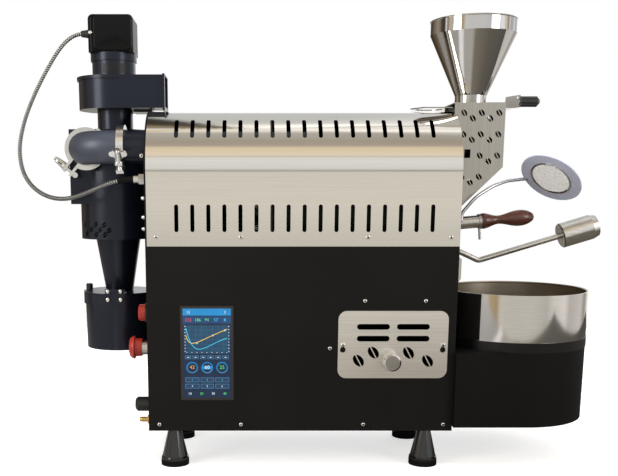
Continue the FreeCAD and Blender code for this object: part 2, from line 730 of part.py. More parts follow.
def feet():
    height = CAB_BOTTOM - PAD_H
    neck = FOOT_TOP_D / 2
    foot_r = FOOT_BOTTOM_D / 2
    profile = [(0, 0), (foot_r, 0), (foot_r, 4), (foot_r - 2, 7), (neck, height), (0, height)]
    return [revolved(profile, (x, y, PAD_H)) for x, y in feet_places()]


def foot_pads():
    return [rod((x, y, 0), (0, 0, 1), PAD_D / 2, PAD_H) for x, y in feet_places()]


def screen_bezel():
    """Frame and housing of the portrait touch screen."""
    lip = rounded_plate_y(SCREEN_X, SCREEN_Z, SCREEN_W, SCREEN_H, 2, NEAR_Y - SCREEN_LIP, NEAR_Y)
    back = block((SCREEN_X - SCREEN_BODY_W / 2, SCREEN_X + SCREEN_BODY_W / 2),
                 (NEAR_Y, NEAR_Y + SCREEN_DEPTH),
                 (SCREEN_Z - SCREEN_BODY_H / 2, SCREEN_Z + SCREEN_BODY_H / 2))
    return fuse([lip, back]).cut(screen_glass())


def screen_glass():
    face = NEAR_Y - SCREEN_LIP
    return rounded_plate_y(SCREEN_X, SCREEN_Z, SCREEN_W - 2 * GLASS_MARGIN, SCREEN_H - 2 * GLASS_MARGIN, 1,
                           face, face + GLASS_T)


def access_plate():
    """Lift-off plate with air slots and bean openings, hung on two screws by keyholes."""
    y0, y1 = NEAR_Y - ACCESS_T, NEAR_Y
    plate = rounded_plate_y(ACCESS_X, ACCESS_Z, ACCESS_W, ACCESS_H, ACCESS_CORNER_R, y0, y1)
    cuts = [
        slot_y(ACCESS_X + s * ACCESS_SLOT_COLUMN, ACCESS_Z + row,
               ACCESS_SLOT_L, ACCESS_SLOT_H, y0 - 1, y1 + 1)
        for s in (-1, 1) for row in ACCESS_SLOT_ROWS
    ]
    bean = bean_cut(BEAN_L, BEAN_W, BEAN_BRIDGE, 3 * ACCESS_T)
    cuts += [placed_bean(bean, ACCESS_X + x, (y0 + y1) / 2, ACCESS_Z + z, 50) for x, z in BEAN_PLACES]
    for s in (-1, 1):
        x = ACCESS_X + s * KEYHOLE_X
        low = ACCESS_Z - KEYHOLE_LIFT
        cuts.append(rod((x, y0 - 1, low), (0, 1, 0), KEYHOLE_D / 2, ACCESS_T + 2))
        cuts.append(slot_y(x, (ACCESS_Z + low) / 2, KEYHOLE_LIFT + KEYHOLE_SLOT_W, KEYHOLE_SLOT_W,
                           y0 - 1, y1 + 1, upright=True))
    return plate.cut(cuts)


def access_knob():
    x, z, face = ACCESS_X + KNOB_X, ACCESS_Z + KNOB_Z, NEAR_Y - ACCESS_T
    r = KNOB_D / 2
    profile = [(0, 0), (r * 0.75, 0), (r * 0.75, 3), (r * 0.5, 5), (r * 0.5, 11), (r, 14),
               (r, KNOB_REACH - 3), (r - 3, KNOB_REACH), (0, KNOB_REACH)]
    return revolved(profile, (x, face, z), (0, -1, 0))


# ---------------------------------------------------------------- drum, housing and drive
def drum_housing():
    """Round steel tunnel round the drum, open below for the flames, with the bulkhead behind it."""
    x0, x1 = BULKHEAD_X + BULKHEAD_T, FRONT_X - FRONT_PLATE_T
    shell = tube((x0, 0, DRUM_Z), (1, 0, 0), HOUSING_R + SHEET, HOUSING_R, x1 - x0)
    flame_gap = block((x0 + 30, x1 - 30), (-BURNER_SPREAD, BURNER_SPREAD), (0, DRUM_Z))
    smoke_port = rod((SMOKE_PORT_X, PIPE_Y, PIPE_Z), (1, 0, 0), PIPE_D / 2 - PIPE_WALL, SMOKE_PORT_L)
    shell = shell.cut([flame_gap, smoke_port])
    bulkhead = cabinet_outline(SHEET, BULKHEAD_X, x0, BULKHEAD_BOTTOM)
    holes = [
        rod((0, PIPE_Y, PIPE_Z), (1, 0, 0), PIPE_D / 2, FAR),
        rod((0, 0, DRUM_Z), (1, 0, 0), SHAFT_R + 1, FAR),
    ]
    return fuse([shell, bulkhead]).cut(holes)


def roasting_drum():
    """Drum shell with a pierced rear plate and mixing flights on its wall."""
    x1 = FRONT_X - FRONT_PLATE_T - DRUM_END_GAP
    length = x1 - DRUM_REAR_X
    shell = tube((DRUM_REAR_X, 0, DRUM_Z), (1, 0, 0), DRUM_R, DRUM_R - DRUM_WALL, length)
    rear = rod((DRUM_REAR_X, 0, DRUM_Z), (1, 0, 0), DRUM_R - DRUM_WALL, DRUM_WALL)
    drum = fuse([shell, rear])
    for i in range(FLIGHT_COUNT):
        flight = block((DRUM_REAR_X, x1 - 4), (-FLIGHT_T / 2, FLIGHT_T / 2),
                       (DRUM_R - DRUM_WALL / 2 - FLIGHT_H, DRUM_R - DRUM_WALL / 2))
        flight.rotate(V(), V(1, 0, 0), 360 / FLIGHT_COUNT * (i + 0.5))
        flight.translate(V(0, 0, DRUM_Z))
        drum = drum.fuse(flight)
    holes = [rod((DRUM_REAR_X - 1, 0, DRUM_Z), (1, 0, 0), SHAFT_R, DRUM_WALL + 2)]
    for radius, count in ((30.0, 8), (48.0, 12), (66.0, 16)):
        for i in range(count):
            angle = 2 * math.pi * i / count
            holes.append(rod((DRUM_REAR_X - 1, radius * math.cos(angle), DRUM_Z + radius * math.sin(angle)),
                             (1, 0, 0), 3.0, DRUM_WALL + 2))
    return drum.cut(holes)


def drum_shaft():
    """Shaft with its driven gear, the hub behind the drum and the three-armed front spider."""
    rear, front = GEAR_X - 6, FRONT_X + BEARING_W + 4
    shaft = rod((rear, 0, DRUM_Z), (1, 0, 0), SHAFT_R, front - rear)
    hub = rod((DRUM_REAR_X + DRUM_WALL, 0, DRUM_Z), (1, 0, 0), SHAFT_R * 2, 10)
    ring = tube((SPIDER_X, 0, DRUM_Z), (1, 0, 0), SHAFT_R * 2, SHAFT_R, 16)
    arms = []
    for i in range(3):
        reach = DRUM_R - DRUM_WALL
        arm = block((SPIDER_X + 3, SPIDER_X + 13), (-3, 3), (SHAFT_R, reach - 1))
        foot = block((SPIDER_X + 3, SPIDER_X + 13), (-3, 3), (reach - 2, reach + 2))
        foot = foot.common(rod((SPIDER_X, 0, 0), (1, 0, 0), reach, 20))
        arm = arm.fuse(foot)
        arm.rotate(V(), V(1, 0, 0), 120 * i)
        arm.translate(V(0, 0, DRUM_Z))
        arms.append(arm)
    wheel = gear(DRUM_TEETH, GEAR_MODULE, GEAR_W, (GEAR_X, 0, DRUM_Z), SHAFT_R)
    boss = rod((GEAR_X, 0, DRUM_Z), (1, 0, 0), SHAFT_R * 1.8, GEAR_W)
    return fuse([shaft, hub, ring, wheel, boss] + arms)


def drum_bearings():
    """Two flanged bearings: behind the bulkhead and in front of the face plate."""
    return [
        tube((x, 0, DRUM_Z), (1, 0, 0), BEARING_R, SHAFT_R + RUN_FIT, width)
        for x, width in ((BULKHEAD_X - BEARING_W + 2, BEARING_W - 2), (FRONT_X, BEARING_W))
    ]


def motor_z():
    return DRUM_Z - (DRUM_TEETH + PINION_TEETH) * GEAR_MODULE / 2


def motor_pinion():
    z = motor_z()
    turned = 180.0 / PINION_TEETH
    wheel = gear(PINION_TEETH, GEAR_MODULE, GEAR_W, (GEAR_X, 0, z), MOTOR_SHAFT_R, turned)
    stub = rod((GEAR_X - 12, 0, z), (1, 0, 0), MOTOR_SHAFT_R, GEAR_W + 14)
    return fuse([wheel, stub])


def drum_motor():
    """Geared motor on a square flange, held off the bulkhead by four pillars."""
    z = motor_z()
    face = GEAR_X - 4
    flange = block((face - 8, face), (-55, 55), (z - 55, z + 15))
    body = rod((face - 8 - MOTOR_L, 0, z), (1, 0, 0), MOTOR_D / 2, MOTOR_L)
    cap = rod((face - 14 - MOTOR_L, 0, z), (1, 0, 0), MOTOR_D / 2 - 6, 6)
    pillars = [rod((face, y, z + dz), (1, 0, 0), 4, BULKHEAD_X - face) for y in (-46, 46) for dz in (-46, 6)]
    bore = rod((face - 9, 0, z), (1, 0, 0), MOTOR_SHAFT_R + RUN_FIT, FAR)
    return fuse([flange, body, cap] + pillars).cut(bore)


def burner():
    """Two flame tubes on two crossbars, and the gas pipe that feeds them."""
    half = CAB_WIDTH / 2 - SHEET
    bars = [block((x - CROSSBAR_T / 2, x + CROSSBAR_T / 2), (-half, half),
                  (CROSSBAR_Z - CROSSBAR_H / 2, CROSSBAR_Z + CROSSBAR_H / 2)) for x in CROSSBAR_XS]
    r = BURNER_TUBE_D / 2
    z = CROSSBAR_Z + CROSSBAR_H / 2 + r - 1
    length = BURNER_FRONT_X - BURNER_REAR_X
    tubes = [rod((BURNER_REAR_X, y, z), (1, 0, 0), r, length)
             for y in (-BURNER_SPREAD / 2, BURNER_SPREAD / 2)]
    header = rod((BURNER_REAR_X + 4, -BURNER_SPREAD / 2, z), (0, 1, 0), r * 0.8, BURNER_SPREAD)
    route = ((BURNER_REAR_X, 0, z), (GAS_PIPE_TURN_X, 0, z), (GAS_PIPE_TURN_X, 0, 200),
             (GAS_PIPE_TURN_X, GAS_INLET_Y, GAS_INLET_Z), (REAR_PLATE_T + GAS_HEX, GAS_INLET_Y, GAS_INLET_Z))
    pipe, _ = rounded_rod(route, GAS_PIPE_D / 2, [14, 25, 25])
    holes = [rod((x, s * (half + 1), CROSSBAR_Z), (0, -s, 0), SCREW_SHANK_D / 2, SCREW_LENGTH)
             for x in CROSSBAR_XS for s in (-1, 1)]
    ports = [
        rod((BURNER_REAR_X + 12 + i * 12, s * BURNER_SPREAD / 2, z + r - 4), (0, 0, 1), 1.5, 8)
        for i in range(int((length - 16) / 12)) for s in (-1, 1)
    ]
    return fuse(bars + tubes + [header, pipe]).cut(holes + ports)


def gas_inlet():
    """Brass hose nipple with its hexagon, screwed through the rear panel onto the gas pipe."""
    y, z = GAS_INLET_Y, GAS_INLET_Z
    pipe_r, bore_r = GAS_PIPE_D / 2, NIPPLE_BORE_D / 2
    inside = REAR_PLATE_T + GAS_HEX
    parts = [
        hexagon_x(-GAS_HEX_T, 0, y, z, GAS_HEX),
        rod((0, y, z), (1, 0, 0), pipe_r, REAR_PLATE_T),
        hexagon_x(REAR_PLATE_T, inside, y, z, GAS_HEX),
        rod((-NIPPLE_REACH + NIPPLE_TIP, y, z), (1, 0, 0),
            NIPPLE_D / 2, NIPPLE_REACH - NIPPLE_TIP - GAS_HEX_T),
        cone((-NIPPLE_REACH, y, z), (1, 0, 0), NIPPLE_D / 2 - 0.8, NIPPLE_D / 2, NIPPLE_TIP),
    ]
    return fuse(parts).cut(rod((-NIPPLE_REACH - 1, y, z), (1, 0, 0), bore_r, NIPPLE_REACH + inside - 2))


def hexagon_x(x0, x1, y, z, across):
    """Hexagonal bar along X, flat to flat size given."""
    corner = across / math.sqrt(3)
    ring = [(x0, y + corner * math.cos(math.radians(60 * i)), z + corner * math.sin(math.radians(60 * i)))
            for i in range(6)]
    return polygon(ring).extrude(V(x1 - x0, 0, 0))


# ---------------------------------------------------------------- hopper, gate and chute
def hopper():
    """Spun funnel with a straight rim band, its neck seated in the chute's top."""
    rim, neck, wall = HOPPER_RIM_D / 2, NECK_D / 2, HOPPER_WALL
    band = HOPPER_RIM_Z - HOPPER_BAND_H
    foot = band - HOPPER_CONE_H
    bottom = GATE_Z + GATE_T + GATE_GAP
    profile = [
        (rim, HOPPER_RIM_Z), (rim, band), (neck, foot), (neck, bottom), (neck - wall, bottom),
        (neck - wall, foot + 1), (rim - wall, band + 1), (rim - wall, HOPPER_RIM_Z),
    ]
    funnel = revolved(profile, (HOPPER_X, 0, 0))
    bead = Part.makeTorus(rim, wall * 0.9, V(HOPPER_X, 0, HOPPER_RIM_Z - wall))
    return funnel.fuse(bead)


def chute_outline(inset=0.0):
    x0, x1 = FRONT_X, FRONT_X + CHUTE_LENGTH - inset
    front_foot = CHUTE_TOP_Z - CHUTE_FRONT_H
    return [(x0, CHUTE_TOP_Z - inset), (x1, CHUTE_TOP_Z - inset), (x1, front_foot + inset * 0.4),
            (x0, CHUTE_FOOT_Z + inset * 1.4)]


def chute_box():
    """Stainless guard with bean-shaped openings round the feed pipe and the front bearing."""
    half = CHUTE_WIDTH / 2
    shell = plate_y(chute_outline(), -half, half).cut(plate_y(chute_outline(CHUTE_SHEET), CHUTE_SHEET - half,
                                                              half - CHUTE_SHEET))
    turn_z = FEED_Z + HOPPER_X - FRONT_X
    outer_r, inner_r = NECK_D / 2, FEED_D / 2
    slope = V(-1, 0, -1).normalize()
    long = (HOPPER_X - FRONT_X) * math.sqrt(2) + 2 * outer_r
    upright_h = GATE_Z - GATE_GAP - turn_z

    def feed(radius, extra):
        upright = rod((HOPPER_X, 0, turn_z), (0, 0, 1), radius, upright_h + extra)
        slanted = rod((HOPPER_X, 0, turn_z), tuple(slope), radius, long)
        return upright.fuse([slanted, Part.makeSphere(radius, V(HOPPER_X, 0, turn_z))])

    behind = block((FRONT_X - FAR, FRONT_X), (-FAR, FAR), (0, 2 * FAR))
    pipe = feed(outer_r, 0).cut(behind).common(plate_y(chute_outline(), -half, half))
    deck = block((FRONT_X + 2, FRONT_X + CHUTE_LENGTH - CHUTE_SHEET),
                 (-half + CHUTE_SHEET, half - CHUTE_SHEET),
                 (GATE_Z - GATE_GAP - 3, GATE_Z - GATE_GAP))
    shell = fuse([shell, pipe, deck])
    gate_slot = block((FRONT_X - 5, FRONT_X + CHUTE_LENGTH + 5),
                      (-GATE_W / 2 - GATE_GAP, GATE_W / 2 + GATE_GAP),
                      (GATE_Z - GATE_GAP, GATE_Z + GATE_T + GATE_GAP))
    neck_hole = rod((HOPPER_X, 0, GATE_Z), (0, 0, 1), NECK_D / 2, FAR)
    window = block((FRONT_X + 20, FRONT_X + 31), (-half - 1, -half + CHUTE_SHEET + 0.5), (551, 566))
    cuts = [feed(inner_r, 4).cut(behind), gate_slot, neck_hole, window]
    bean = bean_cut(CHUTE_BEAN_L, CHUTE_BEAN_W, 1.6, 3 * CHUTE_SHEET)
    for row in range(4):
        for column in range(3):
            for x, z in ((0, 0), (CHUTE_BEAN_PITCH_X / 2, -9.5)):
                bx = FRONT_X + 17 + column * CHUTE_BEAN_PITCH_X + x
                bz = CHUTE_TOP_Z - 18 - row * CHUTE_BEAN_PITCH_Z + z
                inside = bz - 12 > CHUTE_FOOT_Z + (bx - FRONT_X) * CHUTE_SLOPE + 6
                if bx > FRONT_X + CHUTE_LENGTH - 10 or not inside or (row == 2 and bx < FRONT_X + 38):
                    continue
                for side in (-1, 1):
                    cuts.append(placed_bean(bean, bx, side * (half - CHUTE_SHEET / 2), bz, 50))
    return shell.cut(cuts)


def gate_plate():
    """Slide gate under the hopper: blade with its port behind the neck, and the upright tag in front."""
    half = GATE_W / 2
    blade = polygon([(GATE_REAR_X, 0, GATE_Z), (GATE_REAR_X + half * 0.6, -half, GATE_Z),
                     (GATE_FRONT_X, -half, GATE_Z), (GATE_FRONT_X, half, GATE_Z),
                     (GATE_REAR_X + half * 0.6, half, GATE_Z)]).extrude(V(0, 0, GATE_T))
    port = rod((HOPPER_X - GATE_TRAVEL, 0, GATE_Z - 1), (0, 0, 1), GATE_PORT_D / 2, GATE_T + 2)
    tag = plate_y([(GATE_FRONT_X - 10, GATE_Z), (GATE_FRONT_X + 18, GATE_Z + 4),
                   (GATE_FRONT_X + 18, GATE_Z + 26),
                   (GATE_FRONT_X - 8, GATE_Z + TAG_H)], -TAG_T / 2, TAG_T / 2)
    stem = rod((GATE_FRONT_X + 14, 0, GRIP_Z), (1, 0, 0), 3.0, 16)
    hole = rod((GATE_FRONT_X + 13, -5, GATE_Z + 21), (0, 1, 0), 1.8, 10)
    return fuse([blade, tag, stem]).cut([port, hole])


def gate_grip():
    x0, r = GATE_FRONT_X + 18, GRIP_D / 2
    profile = [(3.0, 0), (r, 0), (r, GRIP_L - 5), (r - 5, GRIP_L), (0, GRIP_L), (0, 12), (3.0, 12)]
    return revolved(profile, (x0, 0, GRIP_Z), (1, 0, 0), (0, 0, 1))


# ---------------------------------------------------------------- tryer
def tryer_sleeve():
    """Guide tube fixed in the face plate; the scoop slides in it."""
    sleeve = tilted(tube((-TRYER_SLEEVE_TAIL, 0, 0), (1, 0, 0), TRYER_SLEEVE_D / 2, TRYER_BORE_D / 2,
                         TRYER_SLEEVE_TAIL + TRYER_SLEEVE_L))
    behind = block((0, FRONT_X - FRONT_PLATE_T), (-FAR, FAR), (0, 2 * FAR))
    return sleeve.cut(behind)


def tryer_scoop():
    """Long open scoop with the stop disc and its hanging pin."""
    r = TRYER_BORE_D / 2 - TRYER_FIT
    stem_x = TRYER_SLEEVE_L
    scoop = rod((stem_x - TRYER_SCOOP_L, 0, 0), (1, 0, 0), r, TRYER_SCOOP_L)
    trough_l = TRYER_SCOOP_L - TRYER_SLEEVE_L - 14
    hollow = rod((stem_x - TRYER_SCOOP_L + 4, 0, 0), (1, 0, 0), r - 1.5, trough_l)
    open_top = block((stem_x - TRYER_SCOOP_L + 4, stem_x - TRYER_SCOOP_L + 4 + trough_l), (-r, r), (0, r + 1))
    disc = rod((stem_x, 0, 0), (1, 0, 0), TRYER_DISC_D / 2, TRYER_DISC_T)
    pin = rod((stem_x + TRYER_DISC_T / 2, 0, -TRYER_PIN_L), (0, 0, 1), TRYER_PIN_D / 2, TRYER_PIN_L)
    tang = rod((stem_x + TRYER_DISC_T, 0, 0), (1, 0, 0), 3.0, 30)
    return tilted(fuse([scoop.cut([hollow, open_top]), disc, pin, tang]))


def tryer_handle():
    """Turned wooden handle: collar, waist and long bulb."""
    x0 = TRYER_SLEEVE_L + TRYER_DISC_T
    outline = [(0, 13.6), (6, 14.2), (15, 12.0), (30, 7.8), (44, 9.6), (60, 13.6), (74, 14.4), (86, 11.6),
               (TRYER_HANDLE_L - 4, 6.6)]
    spline = Part.BSplineCurve()
    spline.interpolate([V(x0 + x, 0, r) for x, r in outline])
    tip = V(x0 + TRYER_HANDLE_L, 0, 0)
    last = V(x0 + outline[-1][0], 0, outline[-1][1])
    first = V(x0, 0, outline[0][1])
    edges = [
        Part.LineSegment(V(x0 + 30, 0, 0), V(x0 + 30, 0, 3)).toShape(),
        Part.LineSegment(V(x0 + 30, 0, 3), V(x0, 0, 3)).toShape(),
        Part.LineSegment(V(x0, 0, 3), first).toShape(),
        spline.toShape(),
        Part.LineSegment(last, tip).toShape(),
        Part.LineSegment(tip, V(x0 + 30, 0, 0)).toShape(),
    ]
    return tilted(Part.Face(Part.Wire(edges)).revolve(V(), V(1, 0, 0), 360))


# ---------------------------------------------------------------- discharge
def sight_glass():
    return rod((FRONT_X + SIGHT_RING_H - SIGHT_GLASS_T, SIGHT_Y, SIGHT_Z), (1, 0, 0),
               SIGHT_D / 2, SIGHT_GLASS_T)


def discharge_door():
    """Door plate, its cross shaft and the bent lever rod."""
    x = FRONT_X
    pivot = (x + DOOR_PIVOT_X, DOOR_PIVOT_Z)
    half = DOOR_W / 2
    plate = block((x, x + DOOR_T), (DOOR_Y - half, DOOR_Y + half), (DOOR_BOTTOM_Z, DOOR_TOP_Z + DOOR_OVERLAP))
    knuckle_r = DOOR_SHAFT_R + 3
    knuckle = rod((pivot[0], DOOR_Y - half + 4, pivot[1]), (0, 1, 0), knuckle_r, DOOR_W - 8)
    web = block((x + 1, pivot[0] + 2), (DOOR_Y - half + 4, DOOR_Y + half - 4), (DOOR_TOP_Z, DOOR_PIVOT_Z - 3))
    shaft = rod((pivot[0], EAR_YS[0], pivot[1]), (0, 1, 0), DOOR_SHAFT_R, LEVER_Y - EAR_YS[0])
    route = [(x + px, LEVER_Y, pz) for px, pz in LEVER_POINTS]
    lever, _ = rounded_rod(route, LEVER_D / 2, [14, 12])
    eye = rod((pivot[0], LEVER_Y - LEVER_EYE_W / 2, pivot[1]), (0, 1, 0), LEVER_D * 0.9, LEVER_EYE_W)
    return fuse([plate, knuckle, web, shaft, lever, eye])


def lever_end():
    """End point and direction of the lever's last run."""
    (x0, z0), (x1, z1) = LEVER_POINTS[-2:]
    along = V(x1 - x0, 0, z1 - z0).normalize()
    return V(FRONT_X + x1, LEVER_Y, z1), along


def door_weight():
    end, along = lever_end()
    r = WEIGHT_D / 2
    profile = [(0, 0), (r - 2, 0), (r, 2), (r, WEIGHT_L - WEIGHT_DOME), (r - 3, WEIGHT_L - 4),
               (r - WEIGHT_DOME, WEIGHT_L), (0, WEIGHT_L)]
    side = V(0, 1, 0)
    return revolved(profile, tuple(end), tuple(along), tuple(side))


def discharge_spout():
    """Open-topped guard that turns the beans down into the tray."""
    x0, x1 = FRONT_X, FRONT_X + SPOUT_REACH
    y0, y1 = DOOR_Y - SPOUT_W / 2, DOOR_Y + SPOUT_W / 2
    side_outline = [(x0, SPOUT_TOP_Z), (x0 + 8, SPOUT_TOP_Z), (x1, SPOUT_LIP_Z), (x1, SPOUT_BOTTOM_Z + 10),
                    (x1 - 6, SPOUT_BOTTOM_Z), (x0, SPOUT_BOTTOM_Z)]
    sides = [plate_y(side_outline, y, y + SPOUT_SHEET) for y in (y0, y1 - SPOUT_SHEET)]
    front = block((x1 - SPOUT_SHEET, x1), (y0, y1), (SPOUT_BOTTOM_Z + 10, SPOUT_LIP_Z))
    ramp = plate_y([(x1, SPOUT_BOTTOM_Z + 10), (x1 - 6, SPOUT_BOTTOM_Z),
                    (x1 - 6 - SPOUT_SHEET, SPOUT_BOTTOM_Z),
                    (x1 - SPOUT_SHEET, SPOUT_BOTTOM_Z + 10)], y0, y1)
    back = block((x0, x0 + SPOUT_SHEET), (y0, y1), (SPOUT_BOTTOM_Z, SPOUT_TOP_Z))
    return fuse(sides + [front, ramp, back])


# ---------------------------------------------------------------- lamp
def lamp_neck():
    """Bent tube that swivels on a peg in the face plate."""
    x = FRONT_X
    by, bz = LAMP_BASE[1], LAMP_BASE[2]
    socket = rod((x, by, bz), (1, 0, 0), LAMP_SOCKET_D / 2, LAMP_SOCKET_L)
    peg = rod((x - LAMP_PEG_L, by, bz), (1, 0, 0), LAMP_PEG_R, LAMP_PEG_L + 1)
    tail_start = LAMP_SOCKET_L - 1
    tail = rod((x + tail_start, by, bz), (1, 0, 0), LAMP_NECK_D / 2, LAMP_NECK[0][0] - tail_start)
    joint = Part.makeSphere(LAMP_NECK_D / 2, V(x + LAMP_NECK[0][0], by, bz))
    route = [(x + px, py, pz) for px, py, pz in LAMP_NECK]
    neck, _ = rounded_rod(route, LAMP_NECK_D / 2, list(LAMP_BENDS))
    return fuse([socket, peg, tail, joint, neck])


def lamp_axes():
    """Centre, facing direction and two cross directions of the lamp head."""
    facing = V(*LAMP_FACING).normalize()
    centre = V(FRONT_X + LAMP_CENTRE[0], LAMP_CENTRE[1], LAMP_CENTRE[2])
    across = V(0, 1, 0).cross(facing).normalize()
    return centre, facing, across


def lamp_head():
    """Shallow disc housing with a recess for the lens and a ball boss for the neck."""
    centre, facing, across = lamp_axes()
    r, lens_r = LAMP_D / 2, LAMP_LENS_D / 2
    profile = [(0, -LAMP_T), (r - 14, -LAMP_T), (r - 2, -4), (r, -1), (r - 1, 0), (lens_r, 0),
               (lens_r, -LAMP_LENS_T), (0, -LAMP_LENS_T)]
    head = revolved(profile, tuple(centre), tuple(facing), tuple(across))
    boss = Part.makeSphere(LAMP_BOSS_R, V(FRONT_X + LAMP_NECK[-1][0], *LAMP_NECK[-1][1:]))
    return head.fuse(boss).cut(lamp_neck())


def lamp_lens():
    centre, facing, _ = lamp_axes()
    return rod(tuple(centre - facing * LAMP_LENS_T), tuple(facing), LAMP_LENS_D / 2, LAMP_LENS_T)


# ---------------------------------------------------------------- cooling tray and its base
def cooling_tray():
    """Polished pan with a beaded rim and a pierced floor."""
    origin = (TRAY_X, 0, 0)
    r, wall = TRAY_R, TRAY_WALL
    floor = TRAY_FLOOR_Z
    profile = [(r, TRAY_BOTTOM_Z), (r, TRAY_RIM_Z), (r - wall, TRAY_RIM_Z), (r - wall, floor + TRAY_FLOOR_T),
               (TRAY_HUB_HOLE_D / 2, floor + TRAY_FLOOR_T), (TRAY_HUB_HOLE_D / 2, floor), (r - wall, floor),
               (r - wall, TRAY_BOTTOM_Z)]
    pan = revolved(profile, origin)
    bead = Part.makeTorus(r - TRAY_BEAD_D / 2, TRAY_BEAD_D / 2, V(TRAY_X, 0, TRAY_RIM_Z - TRAY_BEAD_D / 2))
    holes = []
    for ring in TRAY_HOLE_RINGS:
        count = int(2 * math.pi * ring / TRAY_HOLE_PITCH)
        for i in range(count):
            angle = 2 * math.pi * i / count
            holes.append(rod((TRAY_X + ring * math.cos(angle), ring * math.sin(angle), floor - 1), (0, 0, 1),
                             TRAY_HOLE_D / 2, TRAY_FLOOR_T + 2))
    return pan.fuse(bead).cut(Part.makeCompound(holes))


def tray_collar():
    """Black ring on the base that carries the tray."""
    profile = [(TRAY_R + 1, TRAY_BOTTOM_Z - COLLAR_H), (TRAY_R + 1, TRAY_BOTTOM_Z),
               (TRAY_R + 1 - COLLAR_W, TRAY_BOTTOM_Z), (TRAY_R + 1 - COLLAR_W, TRAY_BOTTOM_Z - COLLAR_H)]
    return revolved(profile, (TRAY_X, 0, 0))


def base_outline(inset, z0, z1):
    """Base plan: straight sides off the cabinet and a half-round front."""
    r = TRAY_R - inset
    x0 = FRONT_X + inset
    corners = [V(x0, -r, z0), V(TRAY_X, -r, z0), V(TRAY_X, r, z0), V(x0, r, z0)]
    edges = [
        Part.LineSegment(corners[0], corners[1]).toShape(),
        Part.Arc(corners[1], V(TRAY_X + r, 0, z0), corners[2]).toShape(),
        Part.LineSegment(corners[2], corners[3]).toShape(),
        Part.LineSegment(corners[3], corners[0]).toShape(),
    ]
    return Part.Face(Part.Wire(edges)).extrude(V(0, 0, z1 - z0))


def tray_base():
    """Hollow black base: skirt, deck with the air port, and floor with the fan outlet."""
    top = TRAY_BOTTOM_Z - COLLAR_H
    hollow = base_outline(BASE_SHEET, BASE_BOTTOM_Z + BASE_SHEET, top - BASE_SHEET)
    shell = base_outline(0, BASE_BOTTOM_Z, top).cut(hollow)
    port = rod((TRAY_X, 0, top - BASE_SHEET - 1), (0, 0, 1), BASE_PORT_D / 2, FAR)
    outlet = rod((FAN_X, 0, BASE_BOTTOM_Z - 1), (0, 0, 1), FAN_D / 2, BASE_SHEET + 2)
    return shell.cut([port, outlet])


def fan_frame():
    """Square axial fan frame on the base floor, with three struts to its motor hub."""
    z0 = BASE_BOTTOM_Z + BASE_SHEET
    half = FAN_FRAME / 2
    frame = block((FAN_X - half, FAN_X + half), (-half, half), (z0, z0 + FAN_H))
    frame = frame.cut(rod((FAN_X, 0, z0 - 1), (0, 0, 1), FAN_D / 2, FAN_H + 2))
    hub = rod((FAN_X, 0, z0), (0, 0, 1), FAN_HUB_D / 2, FAN_MOTOR_H)
    struts = []
    for i in range(3):
        strut = block((FAN_HUB_D / 2 - 2, FAN_D / 2 + 1), (-2, 2), (z0, z0 + 4))
        strut.rotate(V(), V(0, 0, 1), 120 * i)
        strut.translate(V(FAN_X, 0, 0))
        struts.append(strut)
    bore = rod((FAN_X, 0, z0 + 1), (0, 0, 1), FAN_PIN_R + RUN_FIT, FAN_MOTOR_H)
    return fuse([frame, hub] + struts).cut(bore)


def fan_impeller():
    z0 = BASE_BOTTOM_Z + BASE_SHEET + FAN_MOTOR_H + 0.5
    height = FAN_H - FAN_MOTOR_H - 2
    hub = rod((FAN_X, 0, z0), (0, 0, 1), FAN_HUB_D / 2, height)
    pin = rod((FAN_X, 0, z0 - FAN_MOTOR_H + 2), (0, 0, 1), FAN_PIN_R, FAN_MOTOR_H)
    parts = [hub, pin]
    for i in range(FAN_BLADES):
        blade = block((FAN_HUB_D / 2 - 2, FAN_D / 2 - 2), (-1, 1), (-height / 2, height / 2))
        blade.rotate(V(), V(1, 0, 0), 42)
        blade = blade.common(rod((0, 0, -height / 2), (0, 0, 1), FAN_D / 2 - 2, height))
        blade.rotate(V(), V(0, 0, 1), 360 / FAN_BLADES * i)
        blade.translate(V(FAN_X, 0, z0 + height / 2))
        parts.append(blade)
    return fuse(parts)


def stirrer_motor():
    """Motor of the stirring arms on a pillar from the base floor."""
    z0 = BASE_BOTTOM_Z + BASE_SHEET
    x = TRAY_X
    body_z = STIRRER_BODY_Z
    foot = block((x - 40, x + 16), (-35, 35), (z0, z0 + 3))
    pillar = rod((x, 0, z0), (0, 0, 1), 12, body_z - z0)
    body = rod((x, 0, body_z), (0, 0, 1), STIRRER_MOTOR_D / 2, STIRRER_MOTOR_H)
    nose = rod((x, 0, body_z + STIRRER_MOTOR_H), (0, 0, 1), STIRRER_HUB_D / 2, STIRRER_NOSE_H)
    disc = rod((x, 0, STIRRER_SHAFT_FOOT - COUPLING_GAP - COUPLING_T), (0, 0, 1), COUPLING_R, COUPLING_T)
    return fuse([foot, pillar, body, nose, disc])


